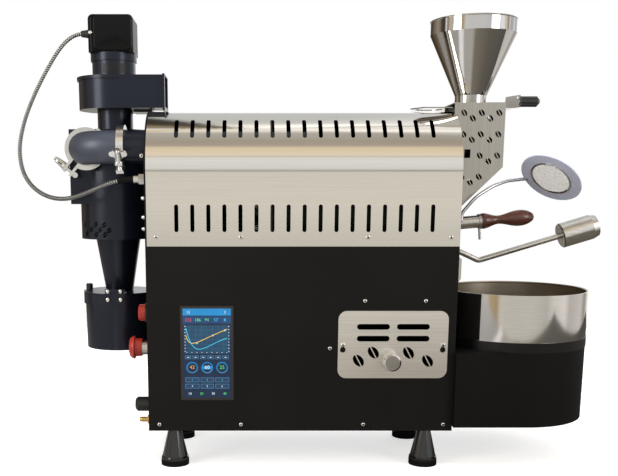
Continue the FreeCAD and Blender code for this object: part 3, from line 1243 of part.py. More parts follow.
def stirrer():
    """Hub and three arms with angled paddles, on a shaft whose disc faces the one on the motor."""
    floor = TRAY_FLOOR_Z + TRAY_FLOOR_T
    x = TRAY_X
    hub = rod((x, 0, floor + 1), (0, 0, 1), STIRRER_HUB_D / 2, STIRRER_HUB_H)
    dome = cone((x, 0, floor + 1 + STIRRER_HUB_H), (0, 0, 1), STIRRER_HUB_D / 2, STIRRER_HUB_D / 4, 6)
    shaft = rod((x, 0, STIRRER_SHAFT_FOOT), (0, 0, 1), STIRRER_SHAFT_R, floor + 2 - STIRRER_SHAFT_FOOT)
    disc = rod((x, 0, STIRRER_SHAFT_FOOT), (0, 0, 1), COUPLING_R, COUPLING_T)
    parts = [hub, dome, shaft, disc]
    arm_z = floor + STIRRER_HUB_H - 6
    for i in range(3):
        arm = rod((0, 0, arm_z), (1, 0, 0), STIRRER_ARM_D / 2, STIRRER_REACH - 16)
        pieces = [arm]
        for reach, turn in ((0.42, 40), (0.82, 40)):
            paddle = block((-17, 17), (-1, 1), (floor + 2, arm_z + 2))
            paddle.rotate(V(), V(0, 0, 1), turn)
            paddle.translate(V(STIRRER_REACH * reach, 0, 0))
            pieces.append(paddle)
        arm = fuse(pieces)
        arm.rotate(V(), V(0, 0, 1), 120 * i + 30)
        arm.translate(V(x, 0, 0))
        parts.append(arm)
    return fuse(parts)


# ---------------------------------------------------------------- smoke duct
def smoke_pipe():
    """Straight pipe from the drum housing through the rear panel, with its clamp ferrule."""
    start, end = ELBOW_START_X, SMOKE_PORT_X + SMOKE_PORT_L
    outer, inner = PIPE_D / 2, PIPE_D / 2 - PIPE_WALL
    pipe = tube((start, PIPE_Y, PIPE_Z), (1, 0, 0), outer, inner, end - start)
    ferrule = tube((start, PIPE_Y, PIPE_Z), (1, 0, 0), FERRULE_D / 2, inner, FERRULE_T)
    cap = rod((end - PIPE_WALL, PIPE_Y, PIPE_Z), (1, 0, 0), inner, PIPE_WALL)
    housing = rod((BULKHEAD_X + BULKHEAD_T, 0, DRUM_Z), (1, 0, 0), HOUSING_R + SHEET, FAR)
    return fuse([pipe, ferrule, cap]).cut(housing)


def smoke_elbow():
    """Wide quarter bend between its two ferrules."""
    outer, inner = PIPE_D / 2, PIPE_D / 2 - PIPE_WALL

    def bend(radius):
        ring = Part.makeTorus(ELBOW_R, radius, V(), V(0, 0, 1), -180, 180, 90)
        ring.rotate(V(), V(0, 0, 1), 180)
        ring.translate(V(ELBOW_X + ELBOW_R, PIPE_Y + ELBOW_R, PIPE_Z))
        run_x = rod((ELBOW_X + ELBOW_R, PIPE_Y, PIPE_Z), (1, 0, 0), radius, ELBOW_LEAD_L)
        run_y = rod((ELBOW_X, PIPE_Y + ELBOW_R, PIPE_Z), (0, 1, 0), radius, FERRULE_L)
        return ring.fuse([run_x, run_y])

    ferrules = [
        rod((ELBOW_START_X - FERRULE_T, PIPE_Y, PIPE_Z), (1, 0, 0), FERRULE_D / 2, FERRULE_T),
        rod((ELBOW_X, ELBOW_END_Y - FERRULE_T, PIPE_Z), (0, 1, 0), FERRULE_D / 2, FERRULE_T),
    ]
    return fuse([bend(outer)] + ferrules).cut(bend(inner))


def clamp_axes():
    """Origin and axes (bolt away, duct, ears up) of the two duct clamps."""
    a, b = math.radians(PIPE_CLAMP_ANGLE), math.radians(ELBOW_CLAMP_ANGLE)
    pipe_ears = V(0, -math.cos(a), -math.sin(a))
    pipe_bolt = V(0, -math.sin(a), math.cos(a))
    elbow_ears = V(-math.sin(b), 0, -math.cos(b))
    elbow_bolt = V(-math.cos(b), 0, math.sin(b))
    return {
        "pipe": (V(ELBOW_START_X, PIPE_Y, PIPE_Z), pipe_bolt, pipe_ears),
        "elbow": (V(ELBOW_X, ELBOW_END_Y, PIPE_Z), elbow_bolt, elbow_ears),
    }


def on_clamp(shape, which):
    origin, bolt, ears = clamp_axes()[which]
    x_axis, z_axis = bolt * -1, ears * -1
    y_axis = z_axis.cross(x_axis)
    return oriented(shape, tuple(origin), tuple(x_axis), tuple(y_axis), tuple(z_axis))


def duct_clamps():
    """Two hinged ring clamps over the ferrules, each with its swing bolt."""
    half, r = CLAMP_W / 2, CLAMP_D / 2
    ring = tube((0, -half, 0), (0, 1, 0), r, PIPE_D / 2 + 0.5, CLAMP_W)
    groove = rod((0, -FERRULE_T, 0), (0, 1, 0), FERRULE_D / 2, 2 * FERRULE_T)
    ears = [block(sorted((s * 5.0, s * 10.0)), (-half, half), (-CLAMP_EAR_R - 8, 4 - r)) for s in (-1, 1)]
    lug = block((-6, 6), (-half, half), (r - 3, r + 5))
    pin = rod((0, -half - 2, r + 1), (0, 1, 0), 2.5, CLAMP_W + 4)
    split = block((-5, 5), (-half - 1, half + 1), (-r - 2, -PIPE_D / 2))
    bolt = rod((14, 0, -CLAMP_EAR_R), (-1, 0, 0), CLAMP_BOLT_D / 2, 48)
    head = rod((14, -half, -CLAMP_EAR_R), (0, 1, 0), CLAMP_BOLT_D / 2 + 1.5, CLAMP_W)
    clamp = fuse([ring, lug, pin] + ears).cut([groove, split])
    clamp = clamp.fuse([bolt, head])
    return [on_clamp(clamp, which) for which in ("pipe", "elbow")]


def wing_nut(which):
    """Long wing nut on a clamp's swing bolt."""
    bore = rod((-9, 0, -CLAMP_EAR_R), (-1, 0, 0), CLAMP_BOLT_D / 2 + RUN_FIT, 40)
    hub = cone((-10.2, 0, -CLAMP_EAR_R), (-1, 0, 0), 7.0, 5.0, 20)
    wings = []
    for s in (-1, 1):
        wing = rod((-24, s * (WING_SPAN / 2 - 5), -CLAMP_EAR_R - 1.5), (0, 0, 1), 5.5, 3)
        web = polygon([(-14, s * 4, -CLAMP_EAR_R - 1.5), (-28, s * 4, -CLAMP_EAR_R - 1.5),
                       (-28, s * 10, -CLAMP_EAR_R - 1.5), (-20, s * 10, -CLAMP_EAR_R - 1.5)])
        wings += [wing, web.extrude(V(0, 0, 3))]
    return on_clamp(fuse([hub] + wings).cut(bore), which)


# ---------------------------------------------------------------- cyclone and chaff bin
def cyclone_body():
    """Cyclone: tangential inlet box, barrel with bean openings, cone, lid and outlet pipe."""
    wall = CYC_WALL
    centre = (CYC_X, CYC_Y)
    box_y0 = ELBOW_END_Y + INLET_STUB_L
    box_bottom = CYC_TOP_Z - INLET_BOX_H

    def barrel(inset):
        return rod((*centre, CYC_BOTTOM_Z + inset), (0, 0, 1),
                   CYC_R - inset, CYC_TOP_Z - CYC_BOTTOM_Z - 2 * inset)

    def inlet(inset):
        return block((INLET_BOX_X + inset, INLET_BOX_X + INLET_BOX_W - inset),
                     (box_y0 + inset, CYC_Y - inset),
                     (box_bottom + inset, CYC_TOP_Z - inset))

    def funnel(inset, extra):
        slope = (CYC_CONE_TOP_D - CYC_CONE_BOTTOM_D) / 2 / (CYC_BOTTOM_Z - CYC_CONE_BOTTOM_Z)
        top, bottom = CYC_BOTTOM_Z + extra, CYC_CONE_BOTTOM_Z - extra
        return cone((*centre, bottom), (0, 0, 1), CYC_CONE_BOTTOM_D / 2 - inset - slope * extra,
                    CYC_CONE_TOP_D / 2 - inset + slope * extra, top - bottom)

    outer = fuse([barrel(0), inlet(0), funnel(0, 0)])
    inner = barrel(wall).fuse([inlet(wall), funnel(wall, wall + 1)])
    body = outer.cut(inner)
    stub_start = (ELBOW_X, ELBOW_END_Y, PIPE_Z)
    stub = rod(stub_start, (0, 1, 0), PIPE_D / 2, INLET_STUB_L)
    ferrule = rod(stub_start, (0, 1, 0), FERRULE_D / 2, FERRULE_T)
    dip = (CYC_X, CYC_Y, CYC_TOP_Z - OUTLET_DIP)
    outlet = rod(dip, (0, 0, 1), OUTLET_D / 2, BLOWER_BOTTOM_Z - dip[2])
    body = fuse([body, stub, ferrule, outlet])
    bores = [
        rod((ELBOW_X, ELBOW_END_Y - 1, PIPE_Z), (0, 1, 0), PIPE_D / 2 - PIPE_WALL, INLET_STUB_L + wall + 2),
        rod((CYC_X, CYC_Y, dip[2] - 1), (0, 0, 1), OUTLET_D / 2 - wall, FAR),
    ]
    bean = bean_cut(CYC_BEAN_L, CYC_BEAN_W, 1.6, 6 * wall)
    beans = []
    for angle, height in CYC_BEANS:
        tool = placed_bean(bean, 0, -CYC_R, 0, -50)
        tool.rotate(V(), V(0, 0, 1), angle)
        tool.translate(V(CYC_X, CYC_Y, CYC_BOTTOM_Z + height))
        beans.append(tool)
    return body.cut(bores + beans)


def chaff_lid():
    """Bin lid under the cone, with the bracket bolted over its front edge."""
    r, t = BIN_LID_D / 2, 3.0
    top = BIN_LID_Z
    plate = rod((CYC_X, CYC_Y, top - t), (0, 0, 1), r, t)
    skirt = tube((CYC_X, CYC_Y, top - BIN_LID_H), (0, 0, 1), r, BIN_D / 2 + CLEAR, BIN_LID_H)
    y0 = CYC_Y - r
    tab = block((CYC_X - 18, CYC_X + 18), (y0 - 2.5, y0 + 1), (top - 17, top + 9))
    tongue = block((CYC_X - 18, CYC_X + 18), (y0 - 2.5, y0 + 30), (top, top + 2.5))
    bolts = [rod((CYC_X + s * 12, y0 - 6, top + dz), (0, 1, 0), radius, 4)
             for s in (-1, 1) for dz, radius in ((5.5, 3.2), (-10, 4.0))]
    holes = [rod((CYC_X, CYC_Y, top - FAR / 2), (0, 0, 1), CYC_CONE_BOTTOM_D / 2 - CYC_WALL, FAR)]
    holes += [rod((CYC_X + s * BIN_KNOB_OFFSET, CYC_Y, top - 10), (0, 0, 1), KNOB_STEM_R + RUN_FIT, 20)
              for s in (-1, 1)]
    return fuse([plate, skirt, tab, tongue] + bolts).cut(holes)


def chaff_bin():
    """Tapered chaff bucket inside the lid's skirt."""
    top, bottom, wall = BIN_LID_Z - 3.5, BIN_BOTTOM_Z, BIN_WALL
    r1, r0 = BIN_D / 2, BIN_BOTTOM_D / 2
    profile = [(0, bottom), (r0, bottom), (r1, top - 30), (r1, top), (r1 - wall, top), (r1 - wall, top - 30),
               (r0 - wall, bottom + wall), (0, bottom + wall)]
    return revolved(profile, (CYC_X, CYC_Y, 0))


def chaff_knob(side):
    """Thumb knob on the lid."""
    z0 = BIN_LID_Z
    profile = [(0, -2.5), (KNOB_STEM_R, -2.5), (KNOB_STEM_R, 0.5), (BIN_KNOB_D / 2, 0.5),
               (BIN_KNOB_D / 2, BIN_KNOB_H - 1.5), (BIN_KNOB_D / 2 - 1.5, BIN_KNOB_H), (0, BIN_KNOB_H)]
    return revolved(profile, (CYC_X + side * BIN_KNOB_OFFSET, CYC_Y, z0))


# ---------------------------------------------------------------- blower
def blower_housing():
    """Scroll with its lid, mouth flange and the bracket that ties it to the rear panel."""
    z0, z1, wall = BLOWER_BOTTOM_Z, BLOWER_TOP_Z, BLOWER_WALL
    mouth_y = CYC_Y - BLOWER_R
    mouth = (mouth_y, mouth_y + BLOWER_MOUTH_W)

    def scroll(inset, x_end):
        drum = rod((CYC_X, CYC_Y, z0 + inset), (0, 0, 1), BLOWER_R - inset, BLOWER_H - 2 * inset)
        duct = block((CYC_X, x_end), (mouth[0] + inset, mouth[1] - inset), (z0 + inset, z1 - inset))
        return drum.fuse(duct)

    lid = rod((CYC_X, CYC_Y, z1 - BLOWER_LIP_H), (0, 0, 1), BLOWER_R + BLOWER_LIP, BLOWER_LIP_H)
    flange = block((BLOWER_MOUTH_X - BLOWER_FLANGE_T, BLOWER_MOUTH_X),
                   (mouth[0] - BLOWER_FLANGE_EDGE, mouth[1] + BLOWER_FLANGE_EDGE), (z0 - 5, z1 + 1))
    leg = block((-4, 0), (CYC_Y - 25, CYC_Y + 25), (z0 - BLOWER_LEG_H, z0))
    arm = block((CYC_X + OUTLET_D / 2 + 4, 0), (CYC_Y - 25, CYC_Y + 25), (z0 - 4, z0))
    body = fuse([scroll(0, BLOWER_MOUTH_X), lid, flange, leg, arm])
    y_mid, z_mid = (mouth[0] + mouth[1]) / 2, (z0 + z1) / 2
    cuts = [
        scroll(wall, BLOWER_MOUTH_X + 1),
        rod((CYC_X, CYC_Y, z0 - 10), (0, 0, 1), OUTLET_D / 2 - wall, 10 + wall + 1),
        rod((CYC_X, CYC_Y, z1 - 10), (0, 0, 1), MOTOR_SHAFT_R_TOP + 2, 20),
    ]
    corners = [(y_mid + sy * FLANGE_HOLE_Y / 2, z_mid - 2 + sz * FLANGE_HOLE_Z / 2)
               for sy in (-1, 1) for sz in (-1, 1)]
    cuts += [rod((BLOWER_MOUTH_X - 10, *corner), (1, 0, 0), FLANGE_HOLE_R, 20) for corner in corners]
    return body.cut(cuts)


def blower_impeller():
    """Back plate with radial blades on the motor shaft."""
    z0 = BLOWER_BOTTOM_Z + BLOWER_WALL + 6
    plate = rod((CYC_X, CYC_Y, z0 + IMPELLER_H), (0, 0, 1), IMPELLER_R, 2)
    hub = rod((CYC_X, CYC_Y, z0 + 10), (0, 0, 1), 12, IMPELLER_H - 10)
    shaft = rod((CYC_X, CYC_Y, z0 + IMPELLER_H), (0, 0, 1), MOTOR_SHAFT_R_TOP,
                BLOWER_TOP_Z + 10 - z0 - IMPELLER_H)
    blades = []
    for i in range(IMPELLER_BLADES):
        blade = block((11, IMPELLER_R - 1), (-0.8, 0.8), (z0, z0 + IMPELLER_H + 0.5))
        blade.rotate(V(), V(0, 0, 1), 360 / IMPELLER_BLADES * i)
        blade.translate(V(CYC_X, CYC_Y, 0))
        blades.append(blade)
    return fuse([plate, hub, shaft] + blades)


def blower_motor():
    z0 = BLOWER_TOP_Z
    body = rod((CYC_X, CYC_Y, z0), (0, 0, 1), BLOWER_MOTOR_D / 2, BLOWER_MOTOR_H)
    ring = rod((CYC_X, CYC_Y, z0 + BLOWER_MOTOR_H), (0, 0, 1), MOTOR_RING_D / 2, MOTOR_RING_H)
    bore = rod((CYC_X, CYC_Y, z0), (0, 0, 1), MOTOR_SHAFT_R_TOP + RUN_FIT, 12)
    return body.fuse(ring).cut(bore)


def terminal_box():
    half = TERMINAL_BOX / 2
    box = block((CYC_X - half, CYC_X + half), (CYC_Y - half, CYC_Y + half),
                (TERMINAL_Z, TERMINAL_Z + TERMINAL_H))
    edges = [e for e in box.Edges if e.CenterOfMass.z > TERMINAL_Z + 1]
    return box.makeFillet(TERMINAL_CORNER_R, edges)


# ---------------------------------------------------------------- controls, glands and conduit
def switch_collars():
    """Fixed parts of the two switches: front ring, neck and the contact block behind the panel."""
    y = SWITCH_Y
    block_x = (REAR_PLATE_T, REAR_PLATE_T + 34)

    def contact(z):
        return block(block_x, (y - 15, y + 15), (z - 15, z + 15))

    estop = fuse([
        rod((-ESTOP_COLLAR_T, y, ESTOP_Z), (1, 0, 0), COLLAR_D / 2, ESTOP_COLLAR_T),
        rod((0, y, ESTOP_Z), (1, 0, 0), ESTOP_STEM_R + CLEAR, REAR_PLATE_T),
        contact(ESTOP_Z),
    ]).cut(rod((-FAR, y, ESTOP_Z), (1, 0, 0), SWITCH_STEM_R + RUN_FIT, FAR + 16))
    start = fuse([
        rod((-START_BEZEL_T, y, START_Z), (1, 0, 0), START_BEZEL_D / 2, START_BEZEL_T),
        rod((0, y, START_Z), (1, 0, 0), START_D / 2 - 2, REAR_PLATE_T),
        contact(START_Z),
    ]).cut([
        rod((-FAR, y, START_Z), (1, 0, 0), SWITCH_STEM_R + RUN_FIT, FAR + 16),
        rod((-START_BEZEL_T, y, START_Z), (1, 0, 0), START_CAP_D / 2 + START_FIT,
            START_TRAVEL + 2 * START_FIT),
    ])
    return [estop, start]


def estop_head():
    """Red mushroom on its stem; its hollow back runs over the collar."""
    r, reach = ESTOP_HEAD_D / 2, ESTOP_HEAD_REACH
    back = reach - ESTOP_COLLAR_T
    bore_r, bore_end = COLLAR_D / 2 + 0.7, back - ESTOP_TRAVEL - 1.5
    profile = [(0, 0), (r - 9, 0), (r - 4, 1.5), (r - 0.8, 6), (r, 8), (r, ESTOP_FLANGE_H),
               (ESTOP_BODY_R + 1, ESTOP_FLANGE_H + 1), (ESTOP_BODY_R, back), (bore_r, back),
               (bore_r, bore_end), (SWITCH_STEM_R, bore_end), (SWITCH_STEM_R, reach + 8), (0, reach + 8)]
    return revolved(profile, (-reach, SWITCH_Y, ESTOP_Z), (1, 0, 0), (0, 0, 1))


def start_button():
    r = START_CAP_D / 2
    cap_back = START_BEZEL_T - START_FIT
    profile = [(0, -START_REACH), (r - 2, -START_REACH), (r, 2 - START_REACH), (r, -cap_back),
               (SWITCH_STEM_R, -cap_back), (SWITCH_STEM_R, 9), (0, 9)]
    return revolved(profile, (0, SWITCH_Y, START_Z), (1, 0, 0), (0, 0, 1))


def cable_glands():
    """Power gland and conduit fitting on the rear panel, and the rubber gland of the terminal box."""
    y, z = SWITCH_Y, POWER_GLAND_Z
    r = POWER_GLAND_D / 2
    power = fuse([
        rod((-4, y, z), (1, 0, 0), r, 4),
        rod((4 - POWER_GLAND_L, y, z), (1, 0, 0), r - 2, POWER_GLAND_L - 8),
        cone((-POWER_GLAND_L, y, z), (1, 0, 0), r - 6, r - 2, 4),
        rod((0, y, z), (1, 0, 0), POWER_BORE_D / 2, REAR_PLATE_T),
        rod((REAR_PLATE_T, y, z), (1, 0, 0), r - 3, 6),
    ]).cut(rod((-FAR, y, z), (1, 0, 0), POWER_BORE_D / 2 - 1.5, 2 * FAR))
    fitting = fuse([
        hexagon_x(-10, 0, CONDUIT_Y, CONDUIT_Z, HEX_ACROSS),
        rod((-HEX_L, CONDUIT_Y, CONDUIT_Z), (1, 0, 0), HEX_ACROSS / 2 - 1.5, HEX_L - 10),
        rod((0, CONDUIT_Y, CONDUIT_Z), (1, 0, 0), CONDUIT_D / 2, REAR_PLATE_T + 8),
    ])
    box_face = CYC_X - TERMINAL_BOX / 2
    rubber = cone((box_face, CYC_Y, TERMINAL_GLAND_Z), (-1, 0, 0), TERMINAL_GLAND_D / 2,
                  CONDUIT_D / 2 + 1.5, TERMINAL_GLAND_L)
    return [power, fitting, rubber]


def conduit():
    """Flexible steel conduit from the terminal box round to the rear panel."""
    start = (CYC_X - TERMINAL_BOX / 2 - TERMINAL_GLAND_L, CYC_Y, TERMINAL_GLAND_Z)
    end = (-HEX_L, CONDUIT_Y, CONDUIT_Z)
    route = [start, *CONDUIT_POINTS, end]
    corners = [V(*p) for p in route]
    radii = []
    for before, corner, after in zip(corners, corners[1:], corners[2:]):
        turn = (corner - before).getAngle(after - corner)
        shorter = min((corner - before).Length, (after - corner).Length)
        radii.append(0.45 * shorter / math.tan(turn / 2))
    print("conduit radii", [round(r) for r in radii])
    solid, path = rounded_rod(route, CONDUIT_D / 2, radii)
    section = math.pi * CONDUIT_D ** 2 / 4
    print("conduit length %.1f, volume over section x length %.4f" % (path.Length,
                                                                    solid.Volume / section / path.Length))
    return solid


# ---------------------------------------------------------------- assembly
def build():
    """Every node's solids, in the cabinet's own frame."""
    return {
        "side_panels": side_panels(),
        "floor_pan": [floor_pan()],
        "rear_panel": [rear_panel()],
        "front_plate": [front_plate()],
        "drum_cover": [drum_cover()],
        "drum_housing": [drum_housing()],
        "feet": feet(),
        "foot_pads": foot_pads(),
        "screen_bezel": [screen_bezel()],
        "screen_glass": [screen_glass()],
        "panel_fasteners": panel_fasteners(),
        "burner": [burner()],
        "gas_inlet": [gas_inlet()],
        "drum_bearings": drum_bearings(),
        "drum_motor": [drum_motor()],
        "motor_pinion": [motor_pinion()],
        "roasting_drum": [roasting_drum()],
        "drum_shaft": [drum_shaft()],
        "hopper": [hopper()],
        "chute_box": [chute_box()],
        "gate_plate": [gate_plate()],
        "gate_grip": [gate_grip()],
        "tryer_sleeve": [tryer_sleeve()],
        "tryer_scoop": [tryer_scoop()],
        "tryer_handle": [tryer_handle()],
        "sight_glass": [sight_glass()],
        "discharge_door": [discharge_door()],
        "door_weight": [door_weight()],
        "discharge_spout": [discharge_spout()],
        "lamp_neck": [lamp_neck()],
        "lamp_head": [lamp_head()],
        "lamp_lens": [lamp_lens()],
        "cooling_tray": [cooling_tray()],
        "tray_collar": [tray_collar()],
        "tray_base": [tray_base()],
        "stirrer": [stirrer()],
        "stirrer_motor": [stirrer_motor()],
        "fan_frame": [fan_frame()],
        "fan_impeller": [fan_impeller()],
        "access_plate": [access_plate()],
        "access_knob": [access_knob()],
        "smoke_pipe": [smoke_pipe()],
        "smoke_elbow": [smoke_elbow()],
        "duct_clamps": duct_clamps(),
        "pipe_wing_nut": [wing_nut("pipe")],
        "elbow_wing_nut": [wing_nut("elbow")],
        "cyclone_body": [cyclone_body()],
        "chaff_lid": [chaff_lid()],
        "chaff_bin": [chaff_bin()],
        "chaff_knob_rear": [chaff_knob(-1)],
        "chaff_knob_front": [chaff_knob(1)],
        "blower_housing": [blower_housing()],
        "blower_impeller": [blower_impeller()],
        "blower_motor": [blower_motor()],
        "terminal_box": [terminal_box()],
        "switch_collars": switch_collars(),
        "estop_head": [estop_head()],
        "start_button": [start_button()],
        "cable_glands": cable_glands(),
        "conduit": [conduit()],
    }


def origin_shift(nodes):
    """From the cabinet's frame to the middle of the footprint, at table height."""
    solids = [s for name, group in nodes.items() if name != "conduit" for s in group]
    limits = Part.makeCompound(solids).optimalBoundingBox(False)
    return V(-(limits.XMin + limits.XMax) / 2, -(limits.YMin + limits.YMax) / 2, 0)


def place_on_origin(nodes):
    shift = origin_shift(nodes)
    print("origin shift %.3f %.3f %.3f" % tuple(shift))
    for group in nodes.values():
        for solid in group:
            solid.translate(shift)
    return nodes


def main():
    nodes = place_on_origin(build())
    os.makedirs("parts", exist_ok=True)
    for name, group in nodes.items():
        shape = group[0] if len(group) == 1 else Part.makeCompound(group)
        if not shape.isValid() or any(len(s.Solids) != 1 for s in group):
            print("check", name, shape.isValid(), [len(s.Solids) for s in group])
        shape.exportStep("parts/%s.step" % name)
    print(len(nodes), "nodes")


if __name__ == "__main__":
    main()
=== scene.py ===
"""Gas-fired home coffee bean roaster: finishes, small hardware and studio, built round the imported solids."""
import math

import bmesh
import bpy
from mathutils import Matrix, Vector


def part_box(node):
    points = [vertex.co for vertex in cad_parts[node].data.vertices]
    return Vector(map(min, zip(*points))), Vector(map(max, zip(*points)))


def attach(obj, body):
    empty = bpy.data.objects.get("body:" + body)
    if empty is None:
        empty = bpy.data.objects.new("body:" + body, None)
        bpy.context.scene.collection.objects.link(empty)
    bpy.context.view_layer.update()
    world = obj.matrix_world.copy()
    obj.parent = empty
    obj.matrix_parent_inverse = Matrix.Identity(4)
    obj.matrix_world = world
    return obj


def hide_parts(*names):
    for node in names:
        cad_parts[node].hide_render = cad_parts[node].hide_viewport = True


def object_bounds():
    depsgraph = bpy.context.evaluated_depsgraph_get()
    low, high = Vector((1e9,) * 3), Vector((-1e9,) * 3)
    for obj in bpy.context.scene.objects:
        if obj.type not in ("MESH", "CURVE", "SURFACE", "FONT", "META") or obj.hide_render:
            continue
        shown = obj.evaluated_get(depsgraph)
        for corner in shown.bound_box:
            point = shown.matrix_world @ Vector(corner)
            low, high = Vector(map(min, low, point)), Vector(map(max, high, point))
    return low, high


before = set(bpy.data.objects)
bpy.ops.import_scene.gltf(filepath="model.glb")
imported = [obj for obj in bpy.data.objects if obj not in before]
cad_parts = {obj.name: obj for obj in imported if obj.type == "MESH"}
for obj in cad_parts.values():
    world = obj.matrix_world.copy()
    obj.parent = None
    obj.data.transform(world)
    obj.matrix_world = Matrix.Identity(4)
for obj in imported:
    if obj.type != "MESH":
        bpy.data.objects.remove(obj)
cad_box = [list(corner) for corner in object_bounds()]


# --- Camera: on the operator's side, a little above half the cabinet's height, looking slightly down.
# It stands square to the cabinet, and the shift brings the whole machine into the frame.
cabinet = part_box("side_panels")           # lowest and highest corner of the black side panels
middle_y = (cabinet[0].y + cabinet[1].y) / 2
rear_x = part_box("rear_panel")[0].x        # outer face of the rear panel
eye_along, eye_back, eye_height = 0.1726, 1.611, 0.494
tilt_down = math.radians(10.5)
sensor_width = 36.0
view_pixels = 618.0
focal_pixels = 860.0
eye = bpy.data.objects.new("camera", bpy.data.cameras.new("camera"))
eye.location = (rear_x + eye_along, middle_y - eye_back, eye_height)
eye.rotation_euler = (math.pi / 2 - tilt_down, 0, 0)
eye.data.sensor_width = sensor_width
eye.data.lens = focal_pixels / view_pixels * sensor_width
eye.data.shift_x, eye.data.shift_y = 0.1033, 0.1810
eye.data.clip_end = 50
bpy.context.scene.collection.objects.link(eye)
bpy.context.scene.camera = eye


# --- Studio: a white table, a bright room whose soft bands show in the polished sheet, and three soft lamps.
# The table mirrors brown and pale cloths in the steel, and shows plain white itself.
def new_material(name):
    material = bpy.data.materials.new(name)
    material.use_nodes = True
    return material, material.node_tree.nodes["Principled BSDF"], material.node_tree


def add(tree, kind, **settings):
    """A shader node with its settings; a key that names an input sets that input."""
    node = tree.nodes.new(kind)
    for key, value in settings.items():
        if hasattr(node, key):
            setattr(node, key, value)
        else:
            node.inputs[key.replace("_", " ")].default_value = value
    return node


def feed(tree, value, socket):
    """Link an output to the socket, or set the socket to a plain value."""
    if isinstance(value, bpy.types.NodeSocket):
        tree.links.new(value, socket)
    else:
        socket.default_value = value


def sums(tree, operation, first, second=0.0):
    """Result of a sum on two outputs or numbers."""
    node = add(tree, "ShaderNodeMath", operation=operation)
    feed(tree, first, node.inputs[0])
    feed(tree, second, node.inputs[1])
    return node.outputs[0]


def rescaled(tree, source, old=(0.0, 1.0), new=(0.0, 1.0)):
    """Source carried from the old range to the new one."""
    node = add(tree, "ShaderNodeMapRange")
    for label, value in zip(("Value", "From Min", "From Max", "To Min", "To Max"), (source, *old, *new)):
        feed(tree, value, node.inputs[label])
    return node.outputs["Result"]


def mixed(tree, factor, first, second, **settings):
    """First turned into second by factor."""
    node = add(tree, "ShaderNodeMix", **{"data_type": "RGBA", **settings})
    for label, value in (("Factor", factor), ("A", first), ("B", second)):
        feed(tree, value, node.inputs[label])
    return node.outputs["Result"]


def own_place(tree):
    """The surface point in the piece's own coordinates."""
    return add(tree, "ShaderNodeTexCoord").outputs["Object"]


def split(tree, source):
    """X, Y and Z of a vector, as outputs."""
    node = add(tree, "ShaderNodeSeparateXYZ")
    tree.links.new(source, node.inputs[0])
    return node.outputs


def ramp(tree, stops, source, smooth="LINEAR"):
    """Colour ramp from (place, colour) stops, fed by source."""
    node = add(tree, "ShaderNodeValToRGB")
    node.color_ramp.interpolation = smooth
    band = node.color_ramp.elements
    while len(band) < len(stops):
        band.new(1.0)
    for element, (place, colour) in zip(band, stops):
        element.position = place
        element.color = (*colour, 1.0)
    tree.links.new(source, node.inputs["Fac"])
    return node.outputs["Color"]


floor_x, floor_y = 4.0, 3.0
floor_glow = 0.62                         # lifts the lit floor to the white of the backdrop
bpy.ops.mesh.primitive_plane_add(size=1.0)
floor = bpy.context.object
floor.scale = (floor_x, floor_y, 1.0)
floor.name = "studio_floor"
floor_paint, paint, paint_tree = new_material("studio_floor")
paint.inputs["Roughness"].default_value = 0.6
paint.inputs["Specular IOR Level"].default_value = 0.0
paint.inputs["Emission Color"].default_value = (1, 1, 1, 1)
seen_directly = add(paint_tree, "ShaderNodeLightPath").outputs["Is Camera Ray"]
feed(paint_tree, sums(paint_tree, "MULTIPLY", seen_directly, floor_glow), paint.inputs["Emission Strength"])
cloths = ramp(paint_tree, [
    (0.20, (0.40, 0.40, 0.40)), (0.32, (0.35, 0.35, 0.35)), (0.345, (0.85, 0.85, 0.86)),
    (0.375, (0.80, 0.80, 0.81)), (0.395, (0.42, 0.41, 0.40)), (0.487, (0.42, 0.41, 0.39)),
    (0.51, (0.33, 0.31, 0.27)), (0.53, (0.20, 0.18, 0.155)), (0.725, (0.13, 0.12, 0.10)),
    (0.822, (0.12, 0.115, 0.105)),
], rescaled(paint_tree, split(paint_tree, own_place(paint_tree))["X"], (-0.5, 0.5)))
table_white = (0.90, 0.90, 0.895, 1)
feed(paint_tree, mixed(paint_tree, seen_directly, cloths, table_white), paint.inputs["Base Color"])
floor.data.materials.append(floor_paint)

room = bpy.data.worlds.new("studio")
room.use_nodes = True
bpy.context.scene.world = room
air = room.node_tree
backdrop = air.nodes["Background"]
backdrop.inputs["Color"].default_value = (1.0, 1.0, 1.0, 1)
way = split(air, add(air, "ShaderNodeTexCoord").outputs["Generated"])


def angle_of(top, side):
    """Angle from the operator's side, as a share of half a turn."""
    return sums(air, "DIVIDE", sums(air, "ARCTAN2", top, sums(air, "MULTIPLY", side, -1.0)), math.pi)


height_bands = ramp(air, [
    (0.000, (0.70, 0.67, 0.61)), (0.012, (0.70, 0.67, 0.61)), (0.018, (0.36, 0.34, 0.30)),
    (0.030, (0.36, 0.34, 0.30)), (0.038, (0.71, 0.71, 0.70)), (0.122, (0.78, 0.78, 0.75)),
    (0.162, (0.76, 0.75, 0.72)), (0.170, (0.52, 0.44, 0.33)), (0.180, (0.84, 0.73, 0.59)),
    (0.237, (0.78, 0.66, 0.48)), (0.265, (0.76, 0.64, 0.46)), (0.285, (0.44, 0.37, 0.33)),
    (0.335, (0.40, 0.35, 0.28)), (0.405, (0.45, 0.43, 0.39)), (0.440, (0.50, 0.47, 0.42)),
    (0.460, (0.85, 0.83, 0.76)), (0.530, (1.00, 0.98, 0.92)), (0.555, (0.90, 0.88, 0.82)),
    (0.575, (0.60, 0.59, 0.58)), (0.640, (0.53, 0.54, 0.54)), (0.820, (0.52, 0.53, 0.54)),
    (0.850, (0.90, 0.92, 0.95)), (1.000, (1.0, 1.0, 1.0)),
], angle_of(way["Z"], way["Y"]))
